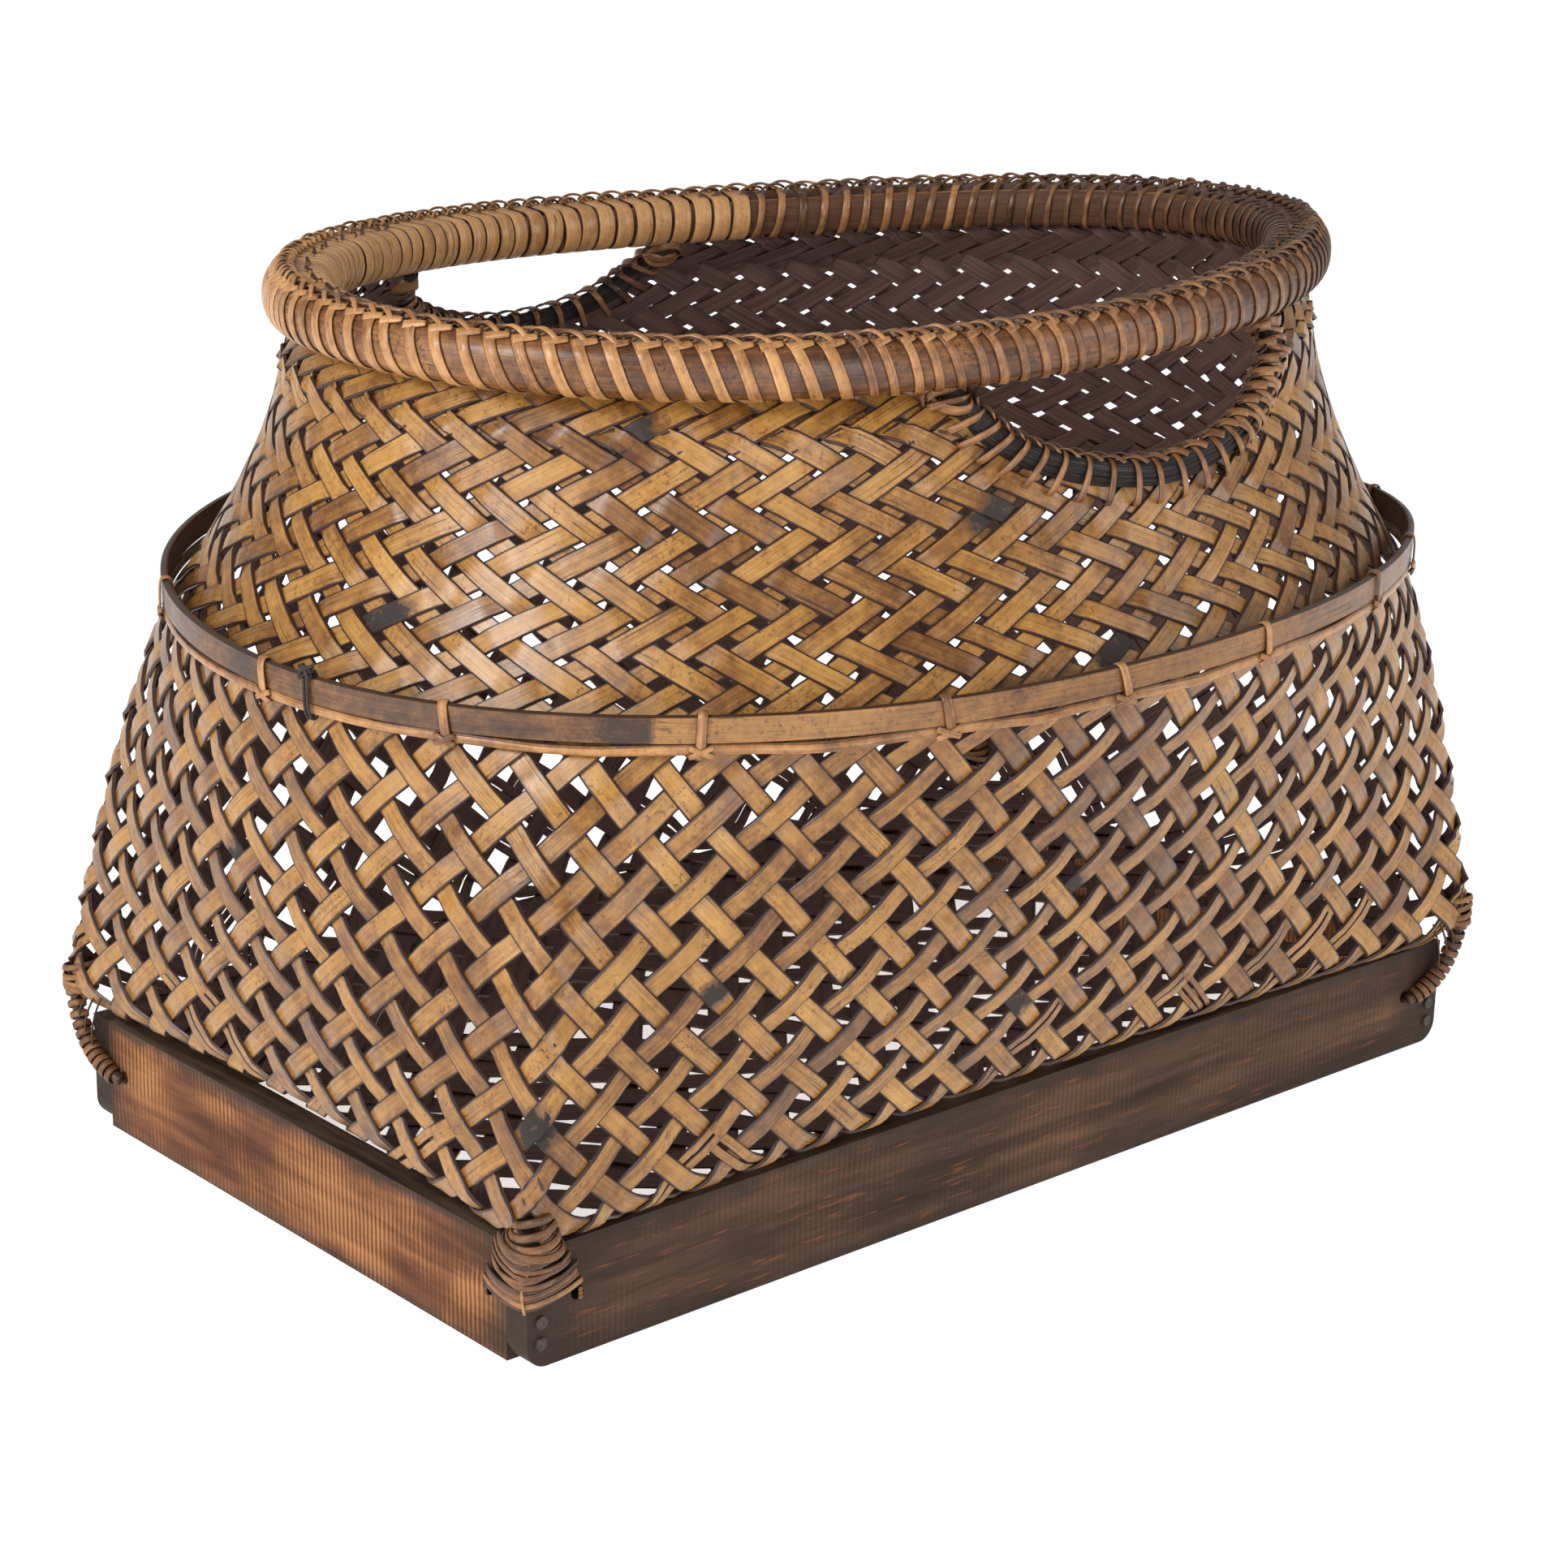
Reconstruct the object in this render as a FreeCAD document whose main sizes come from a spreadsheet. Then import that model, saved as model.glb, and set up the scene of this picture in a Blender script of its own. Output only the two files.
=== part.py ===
import FreeCAD, Part
import Sketcher

import math
import os

Vec = FreeCAD.Vector
DOC = FreeCAD.newDocument("lidless_basket")

# Driving dimensions, in millimetres. The row frame has +X along the long side,
# +Z up, and its origin in the middle of the frame's underside.
SIZES = {
    "frame_length": 450, "frame_width": 260, "board_height": 41, "board_thickness": 10.5,
    "board_corner_round": 8, "lash_hole_inset": 20, "lash_hole_height": 22, "lash_hole_radius": 2.5,
    "nail_radius": 1, "nail_length": 24, "nail_play": 0.05, "nail_head_radius": 2.2, "nail_head_height": 0.9,
    "nail_low": 8.5, "nail_high": 16,
    "foot_length": 464, "foot_width": 279, "foot_rise": 13, "foot_inset": 14,
    "girth_length": 473, "girth_width": 391, "girth_height": 203, "low_bulge": 0.05,
    "neck_length": 402, "neck_width": 313, "neck_height": 288,
    "mouth_length": 386.4, "mouth_width": 292, "mouth_height": 318, "weave_thickness": 3,
    "rim_bottom": 299.75, "pole_height": 18.5, "pole_thickness": 13, "pole_round": 6,
    "inner_hoop_thickness": 6, "inner_hoop_height": 17, "rim_gap": 0.3,
    "braid_width": 8, "braid_height": 4, "lash_width": 4, "lash_thickness": 0.8, "lash_turns": 92,
    "front_handle_offset": 12, "front_handle_half_width": 73.5, "front_handle_depth": 33.5,
    "back_handle_offset": -19, "back_handle_half_width": 60.5, "back_handle_depth": 27, "rod_size": 9,
    "rod_top": 298.2, "rod_lash_turns": 15,
    "hoop_length": 481.4, "hoop_width": 398.6, "hoop_middle": 208.7, "hoop_height": 9,
    "hoop_thickness": 2.6, "cane_size": 3.2, "tie_width": 4, "tie_thickness": 0.9, "string_size": 1.6,
    "corner_lash_foot": 16, "corner_lash_top": 53, "corner_lash_wide": 15, "corner_lash_narrow": 9,
}

# Places of the ties round the band, in degrees of the band's own ellipse.
TIE_ANGLES = (12, 38, 65, 92, 120, 157, 183.5, 204, 225.5, 245, 260.5, 276, 295, 310, 335)
STRING_ANGLE = 189.5
PANEL_HEIGHTS = (40, 128, 208, 252, 299.75, 320)
CORNER_ANGLE = 36.0
PANEL_CORNER = 34.7
SIDE_POINTS = 9
SWELL_HEIGHTS = (80, 110, 140, 172)
SHOULDER_HEIGHTS = (215, 228, 242, 256, 272)
CLEAR = 0.25


def make_sheet():
    sheet = DOC.addObject("Spreadsheet::Sheet", "Sizes")
    for row, (alias, value) in enumerate(SIZES.items(), start=1):
        sheet.set("A%d" % row, alias)
        sheet.set("B%d" % row, str(value))
        sheet.setAlias("B%d" % row, alias)
    DOC.recompute()
    return sheet


SHEET = make_sheet()


def size(alias):
    return float(SHEET.get(alias))


# ---- the wooden frame ----

def origin_plane(body, role):
    return [item for item in body.Origin.OriginFeatures if item.Role == role][0]


def face_sketch(body, name, role):
    sketch = body.newObject("Sketcher::SketchObject", name)
    sketch.AttachmentSupport = [(origin_plane(body, role), "")]
    sketch.MapMode = "FlatFace"
    return sketch


def draw_rectangle(sketch, length_rule, height_rule):
    """A rectangle that stands on the sketch's horizontal axis, centred on the vertical one."""
    corners = [Vec(-10, 0, 0), Vec(10, 0, 0), Vec(10, 5, 0), Vec(-10, 5, 0)]
    for index in range(4):
        sketch.addGeometry(Part.LineSegment(corners[index], corners[(index + 1) % 4]))
    for index in range(4):
        sketch.addConstraint(Sketcher.Constraint("Coincident", index, 2, (index + 1) % 4, 1))
    for index, kind in ((1, "Vertical"), (2, "Horizontal"), (3, "Vertical")):
        sketch.addConstraint(Sketcher.Constraint(kind, index))
    sketch.addConstraint(Sketcher.Constraint("Symmetric", 0, 1, 0, 2, -2))
    sketch.addConstraint(Sketcher.Constraint("PointOnObject", 0, 1, -1))
    length_row = sketch.addConstraint(Sketcher.Constraint("DistanceX", 0, 1, 0, 2, 20))
    height_row = sketch.addConstraint(Sketcher.Constraint("DistanceY", 1, 1, 1, 2, 5))
    sketch.renameConstraint(length_row, "run")
    sketch.renameConstraint(height_row, "rise")
    sketch.setExpression("Constraints.run", length_rule)
    sketch.setExpression("Constraints.rise", height_rule)


def draw_circle_pair(sketch, places, radius_rule):
    """Circles at (across, up) rules measured from the sketch's origin, alike on both sides."""
    for index, (side, across_rule, up_rule) in enumerate(places):
        sketch.addGeometry(Part.Circle(Vec(side * 50, 10, 0), Vec(0, 0, 1), 1))
        ends = (-1, 1, index, 3) if side > 0 else (index, 3, -1, 1)
        names = [word + "_%s" % "left_right".split("_")[index] for word in ("across", "up", "radius")]
        rows = [sketch.addConstraint(Sketcher.Constraint("DistanceX", *ends, 50)),
                sketch.addConstraint(Sketcher.Constraint("DistanceY", -1, 1, index, 3, 10)),
                sketch.addConstraint(Sketcher.Constraint("Radius", index, 1))]
        for row, name, rule in zip(rows, names, (across_rule, up_rule, radius_rule)):
            sketch.renameConstraint(row, name)
            sketch.setExpression("Constraints." + name, rule)


def make_board(label, length_rule, hole_rule):
    """A plank on edge: its lower ends are rounded off and each end has a lashing hole."""
    body = DOC.addObject("PartDesign::Body", label)
    outline = face_sketch(body, label + "_outline", "XZ_Plane")
    draw_rectangle(outline, length_rule, "Sizes.board_height")
    pad = body.newObject("PartDesign::Pad", label + "_plank")
    pad.Profile = outline
    pad.SideType = "Symmetric"
    pad.setExpression("Length", "Sizes.board_thickness")
    DOC.recompute()
    if length_rule == "Sizes.frame_length":
        ends = [number for number, edge in enumerate(pad.Shape.Edges, start=1)
                if edge.BoundBox.ZMax < 0.01 and edge.BoundBox.XLength < 0.01]
        worn = body.newObject("PartDesign::Fillet", label + "_worn_ends")
        worn.Base = (pad, ["Edge%d" % number for number in ends])
        worn.setExpression("Radius", "Sizes.board_corner_round")
        DOC.recompute()
    holes = face_sketch(body, label + "_holes", "XZ_Plane")
    places = [(side, hole_rule, "Sizes.lash_hole_height") for side in (-1, 1)]
    draw_circle_pair(holes, places, "Sizes.lash_hole_radius")
    pocket = body.newObject("PartDesign::Pocket", label + "_lash_holes")
    pocket.Profile = holes
    pocket.Type = "ThroughAll"
    pocket.SideType = "Symmetric"
    DOC.recompute()
    if not pocket.Shape.Volume < pad.Shape.Volume - 1:
        raise RuntimeError(label + ": the lashing holes cut nothing")
    body.Tip = pocket
    return body


def nail_places():
    """Start point and direction of each nail: two at every corner, driven along Y."""
    across = (size("frame_length") - size("board_thickness")) / 2
    face = size("frame_width") / 2
    return [(Vec(side_x * across, side_y * face, height), Vec(0, -side_y, 0))
            for side_x in (-1, 1) for side_y in (-1, 1)
            for height in (size("nail_low"), size("nail_high"))]


def make_rod(label, place, direction, radius_rule, height_rule):
    rod = DOC.addObject("Part::Cylinder", label)
    rod.setExpression("Radius", radius_rule)
    rod.setExpression("Height", height_rule)
    rod.Placement = FreeCAD.Placement(place, FreeCAD.Rotation(Vec(0, 0, 1), direction))
    return rod


def drill_board(label, board):
    """The board with clearance holes for the nails that pass through or into it."""
    holes = DOC.addObject("Part::Compound", label + "_nail_holes")
    holes.Links = [make_rod("%s_nail_hole_%d" % (label, number), place, inward,
                            "Sizes.nail_radius + Sizes.nail_play", "Sizes.nail_length + Sizes.nail_play")
                   for number, (place, inward) in enumerate(nail_places(), start=1)]
    drilled = DOC.addObject("Part::Cut", label)
    drilled.Base = board
    drilled.Tool = holes
    return drilled


def make_boards():
    long_hole = "Sizes.frame_length / 2 - Sizes.lash_hole_inset"
    short_length = "Sizes.frame_width - 2 * Sizes.board_thickness"
    short_hole = "Sizes.frame_width / 2 - Sizes.lash_hole_inset"
    long_y = (size("frame_width") - size("board_thickness")) / 2
    short_x = (size("frame_length") - size("board_thickness")) / 2
    turned = FreeCAD.Rotation(Vec(0, 0, 1), 90)
    boards = []
    for label, side in (("long_board_front", -1), ("long_board_back", 1)):
        board = make_board(label + "_blank", "Sizes.frame_length", long_hole)
        board.Placement = FreeCAD.Placement(Vec(0, side * long_y, 0), FreeCAD.Rotation())
        boards.append(drill_board(label, board))
    for label, side in (("short_board_left", -1), ("short_board_right", 1)):
        board = make_board(label + "_blank", short_length, short_hole)
        board.Placement = FreeCAD.Placement(Vec(side * short_x, 0, 0), turned)
        boards.append(drill_board(label, board))
    return boards


def make_nails():
    nails = DOC.addObject("Part::Compound", "board_nails")
    solids = []
    for number, (place, inward) in enumerate(nail_places(), start=1):
        nail = DOC.addObject("Part::Fuse", "nail_%d" % number)
        nail.Base = make_rod("nail_shank_%d" % number, place, inward,
                             "Sizes.nail_radius", "Sizes.nail_length")
        nail.Tool = make_rod("nail_head_%d" % number, place, inward * -1,
                             "Sizes.nail_head_radius", "Sizes.nail_head_height")
        solids.append(nail)
    nails.Links = solids
    return nails


# ---- the woven body ----

def oval_point(half_length, half_width, angle):
    return Vec(half_length * math.cos(angle), half_width * math.sin(angle), 0)


def side_angles(side):
    """Angles of one side of a ring, from corner to corner; side 0 faces +X, 1 +Y, 2 -X, 3 -Y."""
    corner = math.radians(CORNER_ANGLE)
    stops = [-corner, corner, math.pi - corner, math.pi + corner, 2 * math.pi - corner]
    start, end = stops[side], stops[side + 1]
    return [start + (end - start) * step / (SIDE_POINTS - 1) for step in range(SIDE_POINTS)]


def foot_point(side, step, inset):
    """A point of the foot's rectangle: its straight sides meet in sharp corners."""
    half_x = size("foot_length") / 2 - inset
    half_y = size("foot_width") / 2 - inset
    signs = ((1, -1), (1, 1), (-1, 1), (-1, -1))
    corners = [Vec(sign_x * half_x, sign_y * half_y, 0) for sign_x, sign_y in signs]
    start, end = corners[side], corners[(side + 1) % 4]
    return start + (end - start) * (step / (SIDE_POINTS - 1))


def body_point(side, step, height):
    """A point of the body's outer face at a height: rectangle at the foot, oval from the girth up."""
    angle = side_angles(side)[step]
    girth_height = size("girth_height")
    neck_height = size("neck_height")
    foot_top = size("board_height") + size("foot_rise")
    half_girth = (size("girth_length") / 2, size("girth_width") / 2)
    half_neck = (size("neck_length") / 2, size("neck_width") / 2)
    half_mouth = (size("mouth_length") / 2, size("mouth_width") / 2)
    if height > neck_height:
        tuck = min((height - neck_height) / (size("rim_bottom") - neck_height), 1.0)
        half = [neck + (mouth - neck) * tuck for neck, mouth in zip(half_neck, half_mouth)]
        return oval_point(*half, angle)
    if height >= girth_height:
        spread = (1 - (height - girth_height) / (neck_height - girth_height)) ** 1.5
        half = [neck + (girth - neck) * spread for neck, girth in zip(half_neck, half_girth)]
        return oval_point(*half, angle)
    drop = min((girth_height - height) / (girth_height - foot_top), 1.0)
    inset = 0.0
    if height < foot_top:
        depth = (foot_top - height) / size("foot_rise")
        inset = size("foot_inset") * (1 - math.sqrt(max(1 - depth * depth, 0)))
    oval = oval_point(*half_girth, angle) * (1 + size("low_bulge") * drop)
    square = drop ** 0.76
    return oval * (1 - square) + foot_point(side, step, inset) * square


def ring_wire(height, offset, level):
    """One closed section of the body, moved out by offset and drawn at the height level."""
    edges = []
    for side in range(4):
        points = []
        for step in range(SIDE_POINTS):
            point = body_point(side, step, height)
            point = point * (1 + offset / point.Length)
            points.append(Vec(point.x, point.y, level))
        curve = Part.BSplineCurve()
        curve.interpolate(points)
        edges.append(curve.toShape())
    return Part.Wire(edges)


def body_solid(heights, offset, floor_lift, top_lift):
    """The body's outer form moved in or out: the floor is lifted by floor_lift, the mouth by top_lift.

    The wall is smooth up to the neck; the collar above it is straight between its rings.
    """
    foot_top = size("board_height") + size("foot_rise")
    wall = []
    collar = []
    for height in heights:
        level = height
        if height < foot_top:
            level += floor_lift * (foot_top - height) / size("foot_rise")
        if height == size("mouth_height"):
            level += top_lift
        ring = ring_wire(height, offset, level)
        if height <= size("neck_height"):
            wall.append(ring)
        if height >= size("neck_height"):
            collar.append(ring)
    solid = Part.makeLoft(wall, True, False)
    if collar:
        solid = solid.fuse(Part.makeLoft(collar, True, True))
    return solid


def foot_heights():
    floor = size("board_height")
    return [floor, floor + 2.5, floor + 6.5, floor + size("foot_rise")]


def upper_heights():
    neck = size("neck_height")
    return [size("girth_height"), *SHOULDER_HEIGHTS, neck, size("rim_bottom"), size("mouth_height")]


def handle_size(side_y, name):
    """A size of the front or the back handle opening."""
    return size(("front_handle_" if side_y < 0 else "back_handle_") + name)


def handle_prism(side_y, grow, top):
    """The handle opening as a prism along Y: half an ellipse that hangs from the rim."""
    half_width = handle_size(side_y, "half_width") + grow
    depth = handle_size(side_y, "depth") + grow
    centre = Vec(handle_size(side_y, "offset"), 0, size("rim_bottom"))
    rim = Part.Ellipse(Vec(0, 0, 0), half_width, depth).toShape()
    face = Part.Face(Part.Wire([rim]))
    face.rotate(Vec(0, 0, 0), Vec(1, 0, 0), 90)
    face.translate(centre)
    reach = size("girth_width")
    prism = face.extrude(Vec(0, side_y * reach, 0))
    below = Part.makeBox(4 * half_width, reach, depth, Vec(centre.x - 2 * half_width, 0, top - depth))
    if side_y < 0:
        below.translate(Vec(0, -reach, 0))
    return prism.common(below)


def make_shell():
    """The plaited body as one shell with a flat floor, an open mouth and two handle openings."""
    heights = foot_heights() + list(SWELL_HEIGHTS) + upper_heights()
    outer = body_solid(heights, 0, 0, 0)
    inner = body_solid(heights, -size("weave_thickness"), size("weave_thickness"), 5)
    shell = outer.cut(inner)
    for side_y in (-1, 1):
        shell = shell.cut(handle_prism(side_y, size("rod_size"), size("rim_bottom")))
    return shell


def panel_wedge(start, end, low, high):
    """A wedge round Z between two compass angles and two heights, reaching past the body."""
    reach = size("frame_length")
    ring = [Vec(reach * math.cos(angle), reach * math.sin(angle), low) for angle in (start, end)]
    outline = [Vec(0, 0, low), *ring, Vec(0, 0, low)]
    return Part.Face(Part.makePolygon(outline)).extrude(Vec(0, 0, high - low))


def panel_angles():
    """Compass angles of the panel joints: two panels on each short side, four on each long side."""
    corner = math.radians(PANEL_CORNER)
    stops = [-corner, corner, math.pi - corner, math.pi + corner, 2 * math.pi - corner]
    angles = []
    for side, count in enumerate((2, 4, 2, 4)):
        run = stops[side + 1] - stops[side]
        angles.extend(stops[side] + run * step / count for step in range(count))
    return angles + [stops[-1]]


def make_body(shell):
    """The body as a floor plate and rings of nearly flat panels that meet edge to edge."""
    half_x = size("foot_length") / 2 - 2 * size("foot_inset")
    half_y = size("foot_width") / 2 - 2 * size("foot_inset")
    floor = size("board_height")
    plate = Part.makeBox(2 * half_x, 2 * half_y, size("foot_rise"), Vec(-half_x, -half_y, floor - 1))
    panels = shell.common(plate).Solids
    walls = shell.cut(plate)
    angles = panel_angles()
    for low, high in zip(PANEL_HEIGHTS, PANEL_HEIGHTS[1:]):
        for start, end in zip(angles, angles[1:]):
            panels.extend(walls.common(panel_wedge(start, end, low, high)).Solids)
    body = DOC.addObject("Part::Feature", "woven_body")
    body.Shape = Part.makeCompound(panels)
    return body


# ---- the rim, the band and their bindings ----

def ellipse_block(label, long_rule, wide_rule, bottom_rule, height_rule):
    outline = DOC.addObject("Part::Ellipse", label + "_line")
    outline.setExpression("MajorRadius", long_rule)
    outline.setExpression("MinorRadius", wide_rule)
    outline.setExpression("Placement.Base.z", bottom_rule)
    block = DOC.addObject("Part::Extrusion", label + "_block")
    block.Base = outline
    block.DirMode = "Custom"
    block.Dir = Vec(0, 0, 1)
    block.Solid = True
    block.setExpression("LengthFwd", height_rule)
    return block


def make_ring(label, middle_long, middle_wide, thickness, bottom, height, rounds):
    """A hoop round Z: an oval band, with its edges rounded; all sizes are sheet rules."""
    outer = ellipse_block(label + "_outer", "%s + (%s) / 2" % (middle_long, thickness),
                          "%s + (%s) / 2" % (middle_wide, thickness), bottom, height)
    inner = ellipse_block(label + "_inner", "%s - (%s) / 2" % (middle_long, thickness),
                          "%s - (%s) / 2" % (middle_wide, thickness), bottom, height)
    ring = DOC.addObject("Part::Cut", label + "_plain")
    ring.Base = outer
    ring.Tool = inner
    DOC.recompute()
    outer_round, inner_round = rounds
    widest = ring.Shape.BoundBox.XMax
    edges = []
    for number, edge in enumerate(ring.Shape.Edges, start=1):
        flat = edge.BoundBox.ZLength < 0.01
        if flat:
            reach = outer_round if edge.BoundBox.XMax > widest - 0.1 else inner_round
            edges.append((number, reach, reach))
    rounded = DOC.addObject("Part::Fillet", label)
    rounded.Base = ring
    rounded.Edges = edges
    DOC.recompute()
    return rounded


def make_hoops():
    mouth_long = "Sizes.mouth_length / 2"
    mouth_wide = "Sizes.mouth_width / 2"
    out = " + Sizes.rim_gap + Sizes.pole_thickness / 2"
    back = " - Sizes.weave_thickness - Sizes.rim_gap - Sizes.inner_hoop_thickness / 2"
    over = " - Sizes.weave_thickness / 2"
    rim_top = "Sizes.rim_bottom + Sizes.pole_height"
    cane_bottom = "Sizes.hoop_middle - Sizes.hoop_height / 2 - Sizes.cane_size - 0.2"
    return [
        make_ring("outer_rim_pole", mouth_long + out, mouth_wide + out, "Sizes.pole_thickness",
                  "Sizes.rim_bottom", "Sizes.pole_height", (size("pole_round"), 1.5)),
        make_ring("inner_rim_hoop", mouth_long + back, mouth_wide + back, "Sizes.inner_hoop_thickness",
                  "Sizes.rim_bottom + 0.75", "Sizes.inner_hoop_height", (1.0, 2.5)),
        make_ring("rim_braid", mouth_long + over, mouth_wide + over, "Sizes.braid_width",
                  rim_top + " + Sizes.lash_thickness + 0.6", "Sizes.braid_height", (1.6, 1.6)),
        make_ring("mid_hoop", "Sizes.hoop_length / 2", "Sizes.hoop_width / 2", "Sizes.hoop_thickness",
                  "Sizes.hoop_middle - Sizes.hoop_height / 2", "Sizes.hoop_height", (0.8, 0.8)),
        make_ring("hoop_cane", "Sizes.hoop_length / 2", "Sizes.hoop_width / 2", "Sizes.cane_size",
                  cane_bottom, "Sizes.cane_size", (1.2, 1.2)),
    ]


def binding_turn(centre, outward, along, inside, width, thickness, slot=None):
    """One turn of flat cane round a member: a rectangular loop of inner (depth, height).

    A slot (start, end), measured outward from the centre, opens the lower bar for the weave.
    """
    depth, height = inside
    outward = Vec(outward).normalize()
    along = Vec(along).normalize()
    up = along.cross(outward) * -1
    frame = FreeCAD.Matrix(outward.x, along.x, up.x, centre.x, outward.y, along.y, up.y, centre.y,
                           outward.z, along.z, up.z, centre.z, 0, 0, 0, 1)
    turn = Part.makeBox(depth + 2 * thickness, width, height + 2 * thickness,
                        Vec(-depth / 2 - thickness, -width / 2, -height / 2 - thickness))
    turn = turn.cut(Part.makeBox(depth, width, height, Vec(-depth / 2, -width / 2, -height / 2)))
    if slot:
        start, end = slot
        turn = turn.cut(Part.makeBox(end - start, width, height, Vec(start, -width / 2, -1.5 * height)))
    turn.transformShape(frame)
    return turn


def oval_frame(half_length, half_width, angle, height):
    """Place, outward normal and running direction of an oval at an angle."""
    place = oval_point(half_length, half_width, angle) + Vec(0, 0, height)
    outward = Vec(half_width * math.cos(angle), half_length * math.sin(angle), 0).normalize()
    return place, outward, Vec(-outward.y, outward.x, 0)


def make_rim_lashing():
    """Cane turns round pole, weave and inner hoop; the weave passes out through the lower bars."""
    weave = size("weave_thickness")
    centre = (size("pole_thickness") - size("inner_hoop_thickness") - weave) / 2
    inside = (size("pole_thickness") + size("inner_hoop_thickness") + weave + 6 * CLEAR,
              size("pole_height") + 2 * CLEAR)
    slot = (-centre - weave - 2 * CLEAR, -centre + 6 * CLEAR)
    middle = size("rim_bottom") + size("pole_height") / 2
    half_long = size("mouth_length") / 2 + centre
    half_wide = size("mouth_width") / 2 + centre
    count = int(size("lash_turns"))
    turns = []
    for index in range(count):
        angle = 2 * math.pi * index / count
        place, outward, along = oval_frame(half_long, half_wide, angle, middle)
        turns.append(binding_turn(place, outward, along, inside, size("lash_width"),
                                  size("lash_thickness"), slot))
    lashing = DOC.addObject("Part::Feature", "rim_lashing")
    lashing.Shape = Part.makeCompound(turns)
    return lashing


def rod_track(side_y, share):
    """Place, outward normal and running direction of a handle rod, share 0 to 1 from end to end."""
    grow = size("rod_size") / 2
    angle = math.pi * (1 + share)
    half_width = handle_size(side_y, "half_width") + grow
    depth = handle_size(side_y, "depth") + grow
    across = handle_size(side_y, "offset") + half_width * math.cos(angle)
    height = size("rim_bottom") + depth * math.sin(angle)
    spread = (1 - (height - size("girth_height")) / (size("neck_height") - size("girth_height")))
    spread = max(spread, 0) ** 1.5
    half_x = size("neck_length") / 2 + (size("girth_length") - size("neck_length")) / 2 * spread
    half_y = size("neck_width") / 2 + (size("girth_width") - size("neck_width")) / 2 * spread
    half_x -= size("weave_thickness") / 2
    half_y -= size("weave_thickness") / 2
    place = Vec(across, side_y * half_y * math.sqrt(1 - (across / half_x) ** 2), height)
    outward = Vec(across / half_x ** 2, place.y / half_y ** 2, 0)
    along = Vec(-half_width * math.sin(angle), 0, depth * math.cos(angle))
    along = along - outward * (along.dot(outward) / outward.dot(outward))
    return place, outward, along


def make_handle(side_y, name, shell):
    """The dark rod along a handle opening's lower edge and the cane turns that bind it."""
    half_rod = size("rod_size") / 2
    half_weave = size("weave_thickness") / 2
    band = body_solid(upper_heights(), half_rod - half_weave, 0, 0)
    band = band.cut(body_solid(upper_heights(), -half_rod - half_weave, 0, 1))
    top = size("rod_top")
    crescent = handle_prism(side_y, size("rod_size") - CLEAR, top).cut(handle_prism(side_y, 0, top))
    rod = DOC.addObject("Part::Feature", "handle_rod_" + name)
    rod.Shape = Part.makeCompound(band.common(crescent).Solids)
    count = int(size("rod_lash_turns"))
    inside = size("rod_size") + 6 * CLEAR
    turns = []
    for index in range(count):
        share = 0.09 + 0.82 * index / (count - 1)
        place, outward, along = rod_track(side_y, share)
        turns.append(binding_turn(place, outward, along, (inside, inside), size("lash_width"),
                                  size("lash_thickness")))
    lashing = DOC.addObject("Part::Feature", "handle_lashing_" + name)
    bound = Part.makeCompound(turns).cut(shell).cut(rod.Shape)
    lashing.Shape = Part.makeCompound(bound.Solids)
    return [rod, lashing]


def band_tie(angle, width, thickness):
    """A loop round the band and the cane that runs below it."""
    clear = 2 * CLEAR
    height = size("hoop_height") + size("cane_size") + 0.2 + clear
    middle = size("hoop_middle") - (size("cane_size") + 0.2) / 2
    place, outward, along = oval_frame(size("hoop_length") / 2, size("hoop_width") / 2, angle, middle)
    inside = (size("cane_size") + clear, height)
    return place, outward, binding_turn(place, outward, along, inside, width, thickness)


def make_ties():
    ties = DOC.addObject("Part::Feature", "hoop_ties")
    width = size("tie_width")
    ties.Shape = Part.makeCompound([band_tie(math.radians(angle), width, size("tie_thickness"))[2]
                                    for angle in TIE_ANGLES])
    string = DOC.addObject("Part::Feature", "string_tie")
    thickness = size("string_size")
    place, outward, loop = band_tie(math.radians(STRING_ANGLE), 2 * thickness, thickness * 0.6)
    reach = size("cane_size") / 2 + CLEAR + 2 * thickness
    centre = place + outward * reach + Vec(0, 0, size("hoop_height") / 2)
    along = Vec(-outward.y, outward.x, 0)
    knot = Part.makeCylinder(1.4 * thickness, 4 * thickness, centre - along * (2 * thickness), along)
    string.Shape = Part.makeCompound([loop, knot])
    return [ties, string]


def make_corner_lashings():
    """A bound bundle at each corner, from the frame's lashing holes up round the body's ear."""
    half_x = size("frame_length") / 2
    half_y = size("frame_width") / 2
    height = size("board_height")
    block = Part.makeBox(2 * half_x, 2 * half_y, 2 * height, Vec(-half_x, -half_y, -height))
    ear = Vec(size("foot_length") / 2 - 2, size("foot_width") / 2 - 2, size("corner_lash_top"))
    solid_body = body_solid(foot_heights() + list(SWELL_HEIGHTS), 0.2, 0, 0)
    lashings = []
    for side_x, name_x in ((-1, "left"), (1, "right")):
        for side_y, name_y in ((-1, "front"), (1, "back")):
            away = Vec(side_x, side_y, 0).normalize()
            corner = Vec(side_x * half_x, side_y * half_y, 0)
            foot = corner - away * 9 + Vec(0, 0, size("corner_lash_foot"))
            top = Vec(side_x * ear.x, side_y * ear.y, ear.z)
            wires = [Part.Wire(Part.Circle(place, Vec(0, 0, 1), radius).toShape()) for place, radius in
                     ((foot, size("corner_lash_wide")), (top, size("corner_lash_narrow")))]
            bundle = Part.makeLoft(wires, True, True).cut(block).cut(solid_body)
            pieces = sorted(bundle.Solids, key=lambda piece: piece.Volume)
            lashing = DOC.addObject("Part::Feature", "corner_lashing_%s_%s" % (name_y, name_x))
            lashing.Shape = pieces[-1]
            lashings.append(lashing)
    return lashings


# ---- checks and export ----

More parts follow.
